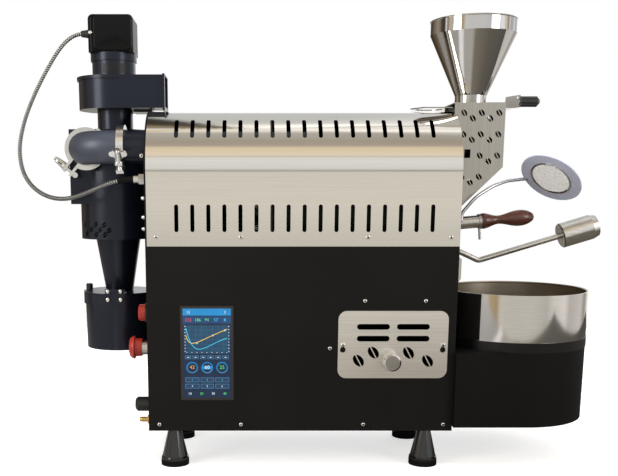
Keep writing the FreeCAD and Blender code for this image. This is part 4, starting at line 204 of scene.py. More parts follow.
side_bands = ramp(air, [
    (0.000, (1.1, 1.1, 1.1)), (0.026, (1.1, 1.1, 1.1)), (0.034, (0.06, 0.05, 0.04)),
    (0.080, (0.10, 0.08, 0.06)), (0.120, (0.24, 0.19, 0.13)), (0.165, (0.40, 0.33, 0.25)),
    (0.200, (0.20, 0.16, 0.13)), (0.236, (0.10, 0.07, 0.05)), (0.243, (0.92, 0.90, 0.90)),
    (0.312, (0.80, 0.78, 0.78)), (0.335, (1.10, 1.05, 0.98)), (0.355, (0.82, 0.66, 0.42)),
    (0.385, (0.70, 0.56, 0.35)), (0.402, (1.05, 1.03, 1.0)), (0.430, (1.0, 1.0, 1.0)),
    (0.540, (1.0, 1.0, 1.0)), (0.600, (0.90, 0.90, 0.90)), (0.632, (1.2, 1.2, 1.25)),
    (0.690, (1.35, 1.35, 1.4)), (0.720, (0.92, 0.90, 0.92)), (0.800, (1.05, 1.05, 1.1)),
    (0.840, (0.50, 0.50, 0.52)), (0.900, (1.6, 1.6, 1.6)), (0.970, (1.1, 1.1, 1.1)),
], rescaled(air, angle_of(way["X"], way["Y"]), (-1.0, 1.0)))
surroundings = add(air, "ShaderNodeBackground", Strength=1.1)
feed(air, mixed(air, 1.0, height_bands, side_bands, blend_type="MULTIPLY"), surroundings.inputs["Color"])
seen = add(air, "ShaderNodeMixShader")
feed(air, add(air, "ShaderNodeLightPath").outputs["Is Camera Ray"], seen.inputs["Fac"])
feed(air, surroundings.outputs[0], seen.inputs[1])
feed(air, backdrop.outputs[0], seen.inputs[2])
feed(air, seen.outputs[0], air.nodes["World Output"].inputs["Surface"])


def soft_lamp(name, place, aim, size, power):
    """Square soft light at place, turned towards aim."""
    lamp = bpy.data.objects.new(name, bpy.data.lights.new(name, "AREA"))
    lamp.data.shape = "RECTANGLE"
    lamp.data.size, lamp.data.size_y = size
    lamp.data.energy = power
    lamp.location = place
    lamp.rotation_euler = (Vector(aim) - Vector(place)).to_track_quat("-Z", "Y").to_euler()
    bpy.context.scene.collection.objects.link(lamp)
    return lamp


above = soft_lamp("lamp_above", (-0.2, -0.6, 2.6), (0, 0, 0.4), (2.2, 1.4), 42)
above.visible_glossy = False
soft_lamp("lamp_left", (-2.2, -1.6, 1.3), (-0.3, 0, 0.5), (1.0, 1.6), 26)
soft_lamp("lamp_right", (2.0, -1.9, 1.1), (0.3, 0, 0.4), (1.0, 1.4), 14)
bpy.context.scene.view_settings.view_transform = "Standard"


# --- Black sheet metal: side panels, floor pan, rear panel and front plate.
# Folded 2 mm steel with a fine matte powder coat, screwed together; the coat has a faint orange peel.
def new_group(name, inputs, outputs):
    """Node group with named sockets, given as (name, default) for numbers and colours."""
    group = bpy.data.node_groups.new(name, "ShaderNodeTree")
    for label, default in inputs:
        kind = "NodeSocketColor" if isinstance(default, tuple) else "NodeSocketFloat"
        socket = group.interface.new_socket(label, in_out="INPUT", socket_type=kind)
        socket.default_value = default
    for label, kind in outputs:
        group.interface.new_socket(label, in_out="OUTPUT", socket_type=kind)
    return group, add(group, "NodeGroupInput").outputs, add(group, "NodeGroupOutput").inputs


def place_group(tree, group, **values):
    """Outputs of the group, placed in this tree with its own values."""
    node = add(tree, "ShaderNodeGroup", node_tree=group)
    for label, value in values.items():
        feed(tree, value, node.inputs[label.replace("_", " ")])
    return node.outputs


def fed_by(socket):
    """The output that feeds this socket now."""
    return socket.links[0].from_socket


def relief(tree, principled, height, strength, distance):
    """Height as fine bumps in the finish."""
    node = add(tree, "ShaderNodeBump", Strength=strength, Distance=distance)
    feed(tree, height, node.inputs["Height"])
    feed(tree, node.outputs["Normal"], principled.inputs["Normal"])


# Grain: cloudy colour change and a fine pebbled height, both from the piece's own coordinates.
grain, grain_in, grain_out = new_group(
    "grain",
    [("Colour", (0.5, 0.5, 0.5, 1)), ("Fine Scale", 900.0), ("Cloud Scale", 9.0), ("Cloud Amount", 0.15),
     ("Rough Low", 0.4), ("Rough High", 0.5)],
    [("Colour", "NodeSocketColor"), ("Roughness", "NodeSocketFloat"), ("Height", "NodeSocketFloat")])
place = own_place(grain)
fine = add(grain, "ShaderNodeTexNoise", Detail=2.0)
cloud = add(grain, "ShaderNodeTexNoise", Detail=4.0)
for texture, label in ((fine, "Fine Scale"), (cloud, "Cloud Scale")):
    feed(grain, place, texture.inputs["Vector"])
    feed(grain, grain_in[label], texture.inputs["Scale"])
darkest, palest = (sums(grain, operation, 1.0, grain_in["Cloud Amount"]) for operation in ("SUBTRACT", "ADD"))
swing = rescaled(grain, cloud.outputs["Fac"], (0.3, 0.7), (darkest, palest))
tinted = add(grain, "ShaderNodeVectorMath", operation="SCALE")
feed(grain, grain_in["Colour"], tinted.inputs[0])
feed(grain, swing, tinted.inputs["Scale"])
feed(grain, tinted.outputs["Vector"], grain_out["Colour"])
feed(grain, rescaled(grain, cloud.outputs["Fac"], new=(grain_in["Rough Low"], grain_in["Rough High"])),
     grain_out["Roughness"])
feed(grain, fine.outputs["Fac"], grain_out["Height"])


def grained(name, colour, fine, cloud, amount, rough, bump, metallic=0.0, **shader):
    """A finish whose colour, roughness and height come from the grain group."""
    material, principled, tree = new_material(name)
    principled.inputs["Metallic"].default_value = metallic
    for label, value in shader.items():
        principled.inputs[label.replace("_", " ")].default_value = value
    texture = place_group(tree, grain, Colour=(*colour, 1), Fine_Scale=fine, Cloud_Scale=cloud,
                          Cloud_Amount=amount, Rough_Low=rough[0], Rough_High=rough[1])
    feed(tree, texture["Colour"], principled.inputs["Base Color"])
    feed(tree, texture["Roughness"], principled.inputs["Roughness"])
    if bump:
        relief(tree, principled, texture["Height"], bump, 0.0002)
    return material


def dress(material, *names):
    """Give the CAD nodes this finish."""
    for name in names:
        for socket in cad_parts[name].material_slots:
            socket.material = material


powder_black = grained("powder_black", (0.0065, 0.0060, 0.0056), 1400, 7, 0.18, (0.50, 0.62), 0.35,
                       Specular_IOR_Level=0.16)
dress(powder_black, "side_panels", "floor_pan", "rear_panel", "front_plate")


# --- Drum cover: one stainless sheet bent over the drum, mirror bright over the shoulder and satin on its
# sides, with two rows of slots. Fine polishing lines run along it.
brush, brush_in, brush_out = new_group(
    "brush_lines",
    [("Along X", 6.0), ("Along Y", 700.0), ("Along Z", 700.0)],
    [("Streak", "NodeSocketFloat"), ("Smudge", "NodeSocketFloat")])
lay = add(brush, "ShaderNodeVectorMath", operation="MULTIPLY")
stretch = add(brush, "ShaderNodeCombineXYZ")
for axis in "XYZ":
    feed(brush, brush_in["Along " + axis], stretch.inputs[axis])
feed(brush, own_place(brush), lay.inputs[0])
feed(brush, stretch.outputs[0], lay.inputs[1])
streak = add(brush, "ShaderNodeTexNoise", Scale=1.0, Detail=3.0)
smudge = add(brush, "ShaderNodeTexNoise", Scale=14.0, Detail=5.0)
for label, texture, where in (("Streak", streak, lay.outputs[0]), ("Smudge", smudge, own_place(brush))):
    feed(brush, where, texture.inputs["Vector"])
    feed(brush, texture.outputs["Fac"], brush_out[label])


def brushed(name, colour, rough, lines=(6.0, 700.0, 700.0), bump=0.05, rough_swing=0.06, tint=0.06):
    """Stainless steel with polishing lines; lines is the fineness along each axis."""
    material, principled, tree = new_material(name)
    principled.inputs["Metallic"].default_value = 1.0
    texture = place_group(tree, brush, Along_X=lines[0], Along_Y=lines[1], Along_Z=lines[2])
    feed(tree, rescaled(tree, texture["Smudge"], new=(rough - rough_swing, rough + rough_swing)),
         principled.inputs["Roughness"])
    darker = tuple(channel * (1 - tint) for channel in colour)
    lighter = tuple(min(1.0, channel * (1 + tint)) for channel in colour)
    feed(tree, ramp(tree, [(0.35, darker), (0.65, lighter)], texture["Streak"]),
         principled.inputs["Base Color"])
    relief(tree, principled, texture["Streak"], bump, 0.0001)
    return material


cover_steel = brushed("cover_steel", (0.80, 0.775, 0.73), 0.10, bump=0.02, rough_swing=0.02, tint=0.02)
dress(cover_steel, "drum_cover")

# The sheet's roundness comes from its bend, so that the cut slots don't disturb its shine.
bend_height, bend_flat = 0.524, 0.011     # where the sides start to bend, half the flat on top
bent, bent_in, bent_out = new_group(
    "bent_sheet", [("Middle", 0.0), ("Flat", 0.0), ("Height", 0.0)], [("Normal", "NodeSocketVector")])
spot = split(bent, own_place(bent))
off_middle = sums(bent, "SUBTRACT", spot["Y"], bent_in["Middle"])
on_flat = sums(bent, "MAXIMUM", sums(bent, "MINIMUM", off_middle, bent_in["Flat"]),
               sums(bent, "MULTIPLY", bent_in["Flat"], -1.0))
outward = add(bent, "ShaderNodeCombineXYZ")
feed(bent, sums(bent, "SUBTRACT", off_middle, on_flat), outward.inputs["Y"])
feed(bent, sums(bent, "MAXIMUM", sums(bent, "SUBTRACT", spot["Z"], bent_in["Height"])), outward.inputs["Z"])
unit = add(bent, "ShaderNodeVectorMath", operation="NORMALIZE")
feed(bent, outward.outputs[0], unit.inputs[0])
surface = add(bent, "ShaderNodeNewGeometry")
likeness = add(bent, "ShaderNodeVectorMath", operation="DOT_PRODUCT")
feed(bent, unit.outputs[0], likeness.inputs[0])
feed(bent, surface.outputs["True Normal"], likeness.inputs[1])
sheet_likeness = 0.9                      # a face that is less like the bend is a slot's cut edge
on_sheet = sums(bent, "GREATER_THAN", likeness.outputs["Value"], sheet_likeness)
feed(bent, mixed(bent, on_sheet, surface.outputs["Normal"], unit.outputs[0], data_type="VECTOR"),
     bent_out["Normal"])

cover_tree = cover_steel.node_tree
cover_look = cover_tree.nodes["Principled BSDF"]
seam_height, even_height, seam_shade_share = 0.399, 0.470, 0.86    # painted shade: the sheet's colour darkens towards its lower edge
painted_shade_scale = add(cover_tree, "ShaderNodeVectorMath", operation="SCALE")
feed(cover_tree, fed_by(cover_look.inputs["Base Color"]), painted_shade_scale.inputs[0])
cover_height = split(cover_tree, own_place(cover_tree))["Z"]
feed(cover_tree, rescaled(cover_tree, cover_height, (seam_height, even_height), (seam_shade_share, 1.0)),
     painted_shade_scale.inputs["Scale"])
feed(cover_tree, painted_shade_scale.outputs["Vector"], cover_look.inputs["Base Color"])
cover_bend = place_group(cover_tree, bent, Middle=middle_y, Flat=bend_flat, Height=bend_height)
feed(cover_tree, cover_bend["Normal"], fed_by(cover_look.inputs["Normal"]).node.inputs["Normal"])


# --- Screws and cap nuts: bright button-head steel screws with a hexagon socket, and domed cap nuts on the
# studs of the rear panel. Turned bar, polished; each head is built where its screw goes into the sheet.
def facing(place, direction):
    """Matrix at place whose local Z points along direction."""
    return Matrix.Translation(place) @ Vector(direction).to_track_quat("Z", "Y").to_matrix().to_4x4()


def lathe(bm, outline, matrix, sides=32, slot=0, shape=None):
    """Surface of revolution through (radius, height) points; shape(step, turn) scales a point's radius."""
    rings = []
    for step, (radius, height) in enumerate(outline):
        ring = []
        for k in range(sides if radius else 1):
            turn = 2 * math.pi * k / sides
            reach = radius * (shape(step, turn) if shape else 1.0)
            spot = Vector((reach * math.cos(turn), reach * math.sin(turn), height))
            ring.append(bm.verts.new(matrix @ spot))
        rings.append(ring)
    for low, high in zip(rings, rings[1:]):
        for k in range(sides):
            after = k + 1
            corners = [low[k % len(low)], low[after % len(low)], high[after % len(high)], high[k % len(high)]]
            corners = list(dict.fromkeys(corners))         # a ring of one point gives triangles
            if len(corners) > 2:
                bm.faces.new(corners).material_index = slot


def hexagon(turn):
    """Radius of a hexagon with unit distance from its middle to its flats."""
    return 1 / math.cos((turn + math.pi / 6) % (math.pi / 3) - math.pi / 6)


def piece(name, bm, materials, body, replaces=(), crease=40.0):
    """Object from bm, smooth but for edges sharper than crease degrees, riding on its body."""
    bm.normal_update()
    mesh = bpy.data.meshes.new(name)
    bm.to_mesh(mesh)
    bm.free()
    for material in materials:
        mesh.materials.append(material)
    mesh.shade_smooth()
    mesh.set_sharp_from_angle(angle=math.radians(crease))
    thing = bpy.data.objects.new(name, mesh)
    bpy.context.scene.collection.objects.link(thing)
    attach(thing, body)
    for node in replaces:
        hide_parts(node)
    return thing


def islands(node):
    """Lowest and highest corner of each separate solid in a CAD node."""
    bm = bmesh.new()
    bm.from_mesh(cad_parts[node].data)
    bmesh.ops.remove_doubles(bm, verts=bm.verts, dist=1e-6)
    left, found = set(bm.verts), []
    while left:
        grown, edge = set(), [left.pop()]
        while edge:
            vertex = edge.pop()
            grown.add(vertex)
            for link in vertex.link_edges:
                other = link.other_vert(vertex)
                if other in left:
                    left.discard(other)
                    edge.append(other)
        found.append([Vector([pick(v.co[i] for v in grown) for i in range(3)]) for pick in (min, max)])
    bm.free()
    return found


screw_steel = brushed("screw_steel", (0.80, 0.80, 0.79), 0.20, lines=(90, 90, 90), bump=0.0)
# painted shade: the hexagon sockets get a dark finish for the shade inside them
socket_shade_dark = grained("socket_shade_dark", (0.015, 0.014, 0.013), 900, 60, 0.3, (0.5, 0.7), 0.2, metallic=0.6)
head_r, socket_r, head_stand = 0.0038, 0.00145, 0.0026
head_outline = [(head_r, -0.0001), (head_r, 0.0008), (0.0034, 0.0017), (0.0026, 0.00235), (0.0020, 0.0025),
                (socket_r, 0.0025), (socket_r, 0.0009), (0, 0.0006)]
nut_height = 0.0072
nut_outline = [(0.0040, 0), (0.0040, 0.0032), (0.0037, 0.0038), (0.0034, 0.0052), (0.0024, 0.0066),
               (0, nut_height)]
side_screw_y = (cabinet[1].y - cabinet[0].y) / 2 - 0.012      # a screw further out than this is in a side
screw_across = 0.009                                          # and no wider than this along the cabinet
screws = bmesh.new()
for lowest, highest in islands("panel_fasteners"):
    middle = (lowest + highest) / 2
    size = highest - lowest
    if abs(middle.y - middle_y) > side_screw_y and size.x < screw_across:
        side = 1 if middle.y > middle_y else -1
        sheet_y = highest.y - head_stand if side > 0 else lowest.y + head_stand
        place = facing((middle.x, sheet_y, middle.z), (0, side, 0))
        for first, last, finish in ((0, 6, 0), (5, 8, 1)):
            lathe(screws, head_outline[first:last], place, 24, finish,
                  lambda step, turn, first=first: hexagon(turn) if step + first in (5, 6) else 1)
    else:
        place = facing((lowest.x + nut_height, middle.y, middle.z), (-1, 0, 0))
        lathe(screws, nut_outline, place, 24, 0, lambda step, turn: hexagon(turn) if step < 3 else 1)
piece("screw_heads", screws, [screw_steel, socket_shade_dark], "chassis", ["panel_fasteners"])


# --- Slot shade sheet: a dark sheet put inside the far half of the cover, a few millimetres inside
# the stainless. It blocks light so that the slots show dark: painted shade, not a part of the roaster.
shade_sheet_low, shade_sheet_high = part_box("drum_cover")
shade_sheet_inset, shade_sheet_foot = 0.006, 0.345
shade_sheet_x = (shade_sheet_low.x + shade_sheet_inset, shade_sheet_high.x - shade_sheet_inset)
shade_sheet_r, shade_sheet_t, bend_step = 0.1030, 0.0015, 6
shade_sheet = bmesh.new()


def shade_sheet_row(radius):
    """Corners of one face of the sheet: flat top, bend, and down the far side, at both ends."""
    turns = [math.radians(turn) for turn in range(90, -1, -bend_step)]
    bend = [(bend_flat + radius * math.cos(turn), bend_height + radius * math.sin(turn)) for turn in turns]
    run = [(0.0, bend_height + radius), *bend, (bend_flat + radius, shade_sheet_foot)]
    return [[shade_sheet.verts.new((x, middle_y + y, z)) for y, z in run] for x in shade_sheet_x]


outer_rear, outer_front = shade_sheet_row(shade_sheet_r)
inner_rear, inner_front = shade_sheet_row(shade_sheet_r - shade_sheet_t)
for one, two in ((outer_rear, outer_front), (outer_front, inner_front), (inner_front, inner_rear),
                 (inner_rear, outer_rear)):
    for k in range(len(one) - 1):
        shade_sheet.faces.new((one[k], one[k + 1], two[k + 1], two[k]))
for end in (0, -1):
    shade_sheet.faces.new((outer_rear[end], outer_front[end], inner_front[end], inner_rear[end]))
bmesh.ops.recalc_face_normals(shade_sheet, faces=shade_sheet.faces)
# painted shade: the dark finish of the sheet that keeps the slots dark
shade_sheet_black = grained("slot_shade_black", (0.010, 0.009, 0.008), 500, 30, 0.3, (0.85, 0.95), 0.5, Specular_IOR_Level=0.1)
piece("slot_shade_sheet", shade_sheet, [shade_sheet_black], "chassis")


# --- Feet: four gloss black turned cones screwed under the floor pan, each on a rubber pad.
# The cones are lacquered, and the pads are moulded and dull.
gloss_black = grained("gloss_black", (0.009, 0.009, 0.010), 300, 20, 0.1, (0.10, 0.16), 0.0, Coat_Weight=0.45)
pad_rubber = grained("pad_rubber", (0.006, 0.006, 0.007), 1800, 40, 0.2, (0.7, 0.85), 0.4,
                     Specular_IOR_Level=0.12)
dress(gloss_black, "feet")
dress(pad_rubber, "foot_pads")


# --- Touch screen: a moulded frame clipped into the near side panel, a gloss glass and the picture behind it.
# The picture is a plain roasting page: header, readings, a graph, dials and rows of keys, with bare numbers.
bezel_plastic = grained("bezel_plastic", (0.018, 0.013, 0.010), 1500, 30, 0.15, (0.38, 0.5), 0.3)
dress(bezel_plastic, "screen_bezel")
screen_gloss = grained("screen_gloss", (0.006, 0.012, 0.030), 200, 12, 0.2, (0.06, 0.12), 0.0,
                       Coat_Weight=0.5)
dress(screen_gloss, "screen_glass")


def lit(name, colour, strength=0.9):
    """A colour of the lit picture, a little uneven as a backlight is."""
    material = grained(name, colour, 2400, 60, 0.12, (0.12, 0.2), 0.0)
    tree = material.node_tree
    principled = tree.nodes["Principled BSDF"]
    dimmed = add(tree, "ShaderNodeVectorMath", operation="SCALE", Scale=0.25)
    source = fed_by(principled.inputs["Base Color"])
    feed(tree, source, principled.inputs["Emission Color"])
    feed(tree, source, dimmed.inputs[0])
    feed(tree, dimmed.outputs["Vector"], principled.inputs["Base Color"])
    principled.inputs["Emission Strength"].default_value = strength
    return material


picture_colours = {
    "navy": (0.006, 0.020, 0.055), "blue": (0.010, 0.24, 0.55), "deep": (0.010, 0.055, 0.16),
    "field": (0.012, 0.060, 0.12), "grid": (0.035, 0.14, 0.24), "white": (0.75, 0.85, 0.92),
    "orange": (0.85, 0.35, 0.05), "yellow": (0.85, 0.55, 0.10), "green": (0.12, 0.70, 0.25),
    "cyan": (0.05, 0.55, 0.80), "red": (0.75, 0.07, 0.06), "key": (0.018, 0.045, 0.10),
    "edge": (0.05, 0.22, 0.40),
}
palette = list(picture_colours)
glass_low, glass_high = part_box("screen_glass")
picture_y = glass_low.y - 0.00012
layer_step = 0.00006                      # how far each layer of the picture lies before the last
glass_w = glass_high.x - glass_low.x
glass_h = glass_high.z - glass_low.z
picture = bmesh.new()


def on_glass(u, v, layer):
    """Place from shares of the glass's width and height, v counted down from its top."""
    return Vector((glass_low.x + u * glass_w, picture_y - layer * layer_step, glass_high.z - v * glass_h))


def patch(u0, v0, u1, v1, colour, layer=1):
    """Plain rectangle from (u0, v0) to (u1, v1)."""
    corners = [on_glass(u, v, layer) for u, v in ((u0, v1), (u1, v1), (u1, v0), (u0, v0))]
    picture.faces.new([picture.verts.new(c) for c in corners]).material_index = palette.index(colour)


def line(points, width, colour, layer=3):
    """Ribbon through (u, v) points; width is a share of the glass's width."""
    places = [on_glass(u, v, layer) for u, v in points]
    sides = []
    for i, here in enumerate(places):
        along = places[min(i + 1, len(places) - 1)] - places[max(i - 1, 0)]
        across = Vector((-along.z, 0, along.x)).normalized() * width * glass_w / 2
        sides.append((picture.verts.new(here + across), picture.verts.new(here - across)))
    for (a, b), (c, d) in zip(sides, sides[1:]):
        picture.faces.new((a, c, d, b)).material_index = palette.index(colour)


def ring(u, v, radius, width, colour, sides=28, share=1.0, start=0.0):
    """Ribbon round (u, v), for a share of a whole turn."""
    turns = [start + 2 * math.pi * share * k / sides for k in range(sides + 1)]
    run = [(u + radius * math.cos(t), v + radius * math.sin(t) * glass_w / glass_h) for t in turns]
    line(run, width, colour)


text_size_per_figure = 1.38               # the typeface's size over the height of its figures


def number(text, u, v, height, colour, layer=4):
    """Plain figures, height as a share of the glass's width, centred on (u, v)."""
    bpy.ops.object.text_add()
    words = bpy.context.object
    words.data.body = text
    words.data.size = height * glass_w * text_size_per_figure
    words.data.align_x, words.data.align_y = "CENTER", "CENTER"
    words.data.resolution_u = 3
    flat = bpy.data.meshes.new_from_object(words)
    bpy.data.objects.remove(words)
    flat.transform(Matrix.Translation(on_glass(u, v, layer)) @ Matrix.Rotation(math.pi / 2, 4, "X"))
    first = len(picture.faces)
    picture.from_mesh(flat)
    picture.faces.ensure_lookup_table()
    for k in range(first, len(picture.faces)):
        picture.faces[k].material_index = palette.index(colour)


patch(0.02, 0.01, 0.98, 0.99, "navy", 0)
patch(0.02, 0.01, 0.98, 0.085, "blue")
number("12", 0.13, 0.05, 0.055, "white")
number("3", 0.86, 0.05, 0.055, "white")
patch(0.02, 0.095, 0.98, 0.17, "deep")
for reading, u, tone in (("212", 0.13, "red"), ("186", 0.32, "green"), ("94", 0.50, "green"),
                         ("57", 0.68, "cyan"), ("8", 0.86, "cyan")):
    number(reading, u, 0.133, 0.062, tone)

graph_left, graph_top, graph_right, graph_foot = 0.05, 0.19, 0.95, 0.50
column_w, row_h, grid_line = 0.1125, 0.0517, 0.004
patch(graph_left, graph_top, graph_right, graph_foot, "field")
for k in range(1, 8):
    line([(graph_left + column_w * k, v) for v in (0.195, 0.495)], grid_line, "grid", 2)
for k in range(1, 6):
    line([(u, graph_top + row_h * k) for u in (0.055, 0.945)], grid_line, "grid", 2)
for k in range(9):
    down, right = 0.20 + 0.034 * k, 0.09 + 0.1 * k
    for u0, v0, u1, v1 in ((0.052, down, 0.075, down + 0.006), (0.925, down, 0.948, down + 0.006),
                           (right, 0.486, right + 0.015, 0.492)):
        patch(u0, v0, u1, v1, "white", 3)


def swept(a, b, c, d, steps=18):
    """Smooth run between four (u, v) control points."""
    run = []
    for k in range(steps + 1):
        t = k / steps
        weights = ((1 - t) ** 3, 3 * t * (1 - t) ** 2, 3 * t * t * (1 - t), t ** 3)
        run.append(tuple(sum(w * p[i] for w, p in zip(weights, (a, b, c, d))) for i in (0, 1)))
    return run


line(swept((0.08, 0.30), (0.16, 0.47), (0.30, 0.36), (0.90, 0.235)), 0.014, "yellow")
line(swept((0.08, 0.22), (0.24, 0.60), (0.42, 0.42), (0.90, 0.33)), 0.014, "cyan")
for u, v in ((0.30, 0.385), (0.62, 0.30), (0.86, 0.245)):
    ring(u, v, 0.014, 0.008, "white", 10)
for k in range(6):
    left = 0.06 + 0.15 * k
    patch(left, 0.522, left + 0.12, 0.56, "edge", 1)
    patch(left + 0.008, 0.526, left + 0.112, 0.556, "key", 2)
    patch(left + 0.04, 0.538, left + 0.08, 0.544, "white", 3)
dial_v, dial_r = 0.655, 0.105
for u, value, tone in ((0.20, "42", "orange"), (0.50, "60", "white"), (0.80, "25", "green")):
    ring(u, dial_v, dial_r, 0.022, "edge")
    ring(u, dial_v, dial_r, 0.026, "blue", 22, 0.72, 2.2)
    number(value, u, dial_v - 0.003, 0.075, tone)
patch(0.40, 0.637, 0.60, 0.674, "blue", 2)
for k, (u0, u1) in enumerate(((0.06, 0.34), (0.37, 0.63), (0.66, 0.94))):
    for row, v in enumerate((0.765, 0.835)):
        patch(u0, v, u1, v + 0.052, "edge", 1)
        patch(u0 + 0.008, v + 0.005, u1 - 0.008, v + 0.047, "key", 2)
        number(str(3 * row + k + 1), (u0 + u1) / 2, v + 0.027, 0.042, "white" if row else "cyan")
for k, tone in enumerate(("white", "green", "white", "green")):
    number(str(10 * (k + 1)), 0.15 + 0.235 * k, 0.945, 0.05, tone)
picture_inks = [lit("picture_" + name, colour) for name, colour in picture_colours.items()]
piece("screen_picture", picture, picture_inks, "chassis", crease=180.0)


# --- Lighting plate: brushed stainless sheet hung by keyholes on two screws over the burner window, with a
# turned steel knob. It lifts off the screws and comes away. Its polishing lines run along it.
plate_steel = brushed("plate_steel", (0.87, 0.845, 0.80), 0.30, lines=(5.0, 500.0, 900.0), bump=0.06,
                      tint=0.07)
dress(plate_steel, "access_plate")
dress(brushed("knob_steel", (0.74, 0.74, 0.73), 0.12, lines=(200, 200, 200), bump=0.02), "access_knob")


# --- Drum, its housing and drive: rolled steel blued by heat, a cut steel wheel and pinion, bronze bearings,
# and a black gear motor bolted behind the bulkhead.
heat_steel = brushed("heat_steel", (0.30, 0.26, 0.24), 0.42, lines=(120.0, 400.0, 400.0), bump=0.1, tint=0.2)
dress(heat_steel, "roasting_drum")
sooted_steel = grained("sooted_steel", (0.030, 0.026, 0.023), 500, 20, 0.3, (0.6, 0.75), 0.3, metallic=0.3,
                       Specular_IOR_Level=0.2)
dress(sooted_steel, "drum_housing")
shaft_steel = brushed("shaft_steel", (0.52, 0.51, 0.50), 0.28, lines=(20.0, 600.0, 600.0), bump=0.04)
dress(shaft_steel, "drum_shaft", "motor_pinion")
bronze = grained("bronze", (0.42, 0.26, 0.10), 700, 30, 0.2, (0.3, 0.42), 0.2, metallic=1.0)
dress(bronze, "drum_bearings")
motor_black = grained("motor_black", (0.012, 0.012, 0.013), 1100, 20, 0.2, (0.32, 0.42), 0.25)
dress(motor_black, "drum_motor")


# --- Burner and gas inlet: two cast-iron tubes on cross bars under the drum, and a brass hose nipple with its
# nut. The iron is rough from the sand mould, the brass turned and bright.
cast_iron = grained("cast_iron", (0.040, 0.036, 0.033), 420, 30, 0.3, (0.6, 0.78), 0.9, metallic=0.5)
dress(cast_iron, "burner")
brass = grained("brass", (0.70, 0.48, 0.18), 800, 25, 0.15, (0.18, 0.3), 0.1, metallic=1.0)
dress(brass, "gas_inlet")


# --- Hopper, chute and slide gate: spun and folded stainless sheet. The hopper is polished to a mirror; the
# chute's outside is satin and its inside is darkened brown, painted shade. The blade is polished and its grip
# moulded.
mirror_steel = brushed("mirror_steel", (0.63, 0.62, 0.605), 0.055, lines=(40, 40, 900), bump=0.015,
                       rough_swing=0.02, tint=0.02)
dress(mirror_steel, "hopper", "gate_plate")

inside, inside_in, inside_out = new_group(
    "inside",
    [("Middle X", 0.0), ("Half X", 1.0), ("Middle Y", 0.0), ("Half Y", 1.0)], [("Mask", "NodeSocketFloat")])
parted = split(inside, own_place(inside))
near_middle = []
for axis in "XY":
    near = add(inside, "ShaderNodeMath", operation="COMPARE")
    for k, value in enumerate((parted[axis], inside_in["Middle " + axis], inside_in["Half " + axis])):
        feed(inside, value, near.inputs[k])
    near_middle.append(near.outputs[0])
feed(inside, sums(inside, "MULTIPLY", *near_middle), inside_out["Mask"])


# painted shade: the dark brown that the chute's inner faces are darkened to
inside_shade_brown = (0.030, 0.022, 0.015, 1)


def painted_shade_inside(material, node, sheet=0.0017):
    """Painted shade: darken a sheet box's inner faces, those more than a sheet's thickness within its outer
    box.
    """
    low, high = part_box(node)
    tree = material.node_tree
    principled = tree.nodes["Principled BSDF"]
    mask = place_group(tree, inside, Middle_X=(low.x + high.x) / 2, Half_X=(high.x - low.x) / 2 - sheet,
                       Middle_Y=(low.y + high.y) / 2, Half_Y=(high.y - low.y) / 2 - sheet)["Mask"]
    feed(tree, mixed(tree, mask, fed_by(principled.inputs["Base Color"]), inside_shade_brown),
         principled.inputs["Base Color"])


chute_steel = brushed("chute_steel", (0.44, 0.42, 0.385), 0.33, lines=(500, 500, 8), bump=0.05, tint=0.06)
painted_shade_inside(chute_steel, "chute_box")
dress(chute_steel, "chute_box")
knob_black = grained("knob_black", (0.010, 0.010, 0.011), 900, 40, 0.15, (0.22, 0.32), 0.1, Coat_Weight=0.3)
dress(knob_black, "gate_grip")


# --- Tryer: a steel guide tube with a turned collar, the sample scoop that slides in it, and a lacquered
# handle turned from walnut, whose grain runs along it.
dress(brushed("satin_steel", (0.60, 0.585, 0.56), 0.24, lines=(300, 300, 300), bump=0.03, tint=0.05),
      "tryer_sleeve")
dress(shaft_steel, "tryer_scoop")
walnut, walnut_look, walnut_tree = new_material("walnut")
along_handle = add(walnut_tree, "ShaderNodeMapping", Scale=(5.0, 60.0, 60.0))
feed(walnut_tree, own_place(walnut_tree), along_handle.inputs["Vector"])
figure = add(walnut_tree, "ShaderNodeTexNoise", Scale=4.0, Detail=5.0, Distortion=0.6)
feed(walnut_tree, along_handle.outputs[0], figure.inputs["Vector"])
wood = ramp(walnut_tree, [
    (0.30, (0.050, 0.013, 0.007)), (0.48, (0.075, 0.019, 0.011)), (0.62, (0.105, 0.029, 0.016)),
    (0.75, (0.065, 0.016, 0.009)),
], figure.outputs["Fac"])
feed(walnut_tree, wood, walnut_look.inputs["Base Color"])
relief(walnut_tree, walnut_look, figure.outputs["Fac"], 0.12, 0.0002)
walnut_look.inputs["Roughness"].default_value = 0.26
walnut_look.inputs["Coat Weight"].default_value = 0.5
walnut_look.inputs["Coat Roughness"].default_value = 0.12
dress(walnut, "tryer_handle")


# --- Sight glass, discharge door with its lever and weight, and the spout: glass in a steel ring, a machined
# door on a cross shaft, a bent rod with a turned weight, and a guard folded from sheet.
sight_look = grained("sight_glass_look", (0.010, 0.008, 0.006), 60, 15, 0.2, (0.03, 0.07), 0.0,
                     Coat_Weight=0.4)
dress(sight_look, "sight_glass")
weight_steel = brushed("weight_steel", (0.68, 0.665, 0.64), 0.26, lines=(30, 260, 260), bump=0.03, tint=0.08)
dress(weight_steel, "discharge_door", "door_weight")
dress(brushed("spout_steel", (0.60, 0.585, 0.55), 0.26, lines=(400, 400, 8), bump=0.04), "discharge_spout")


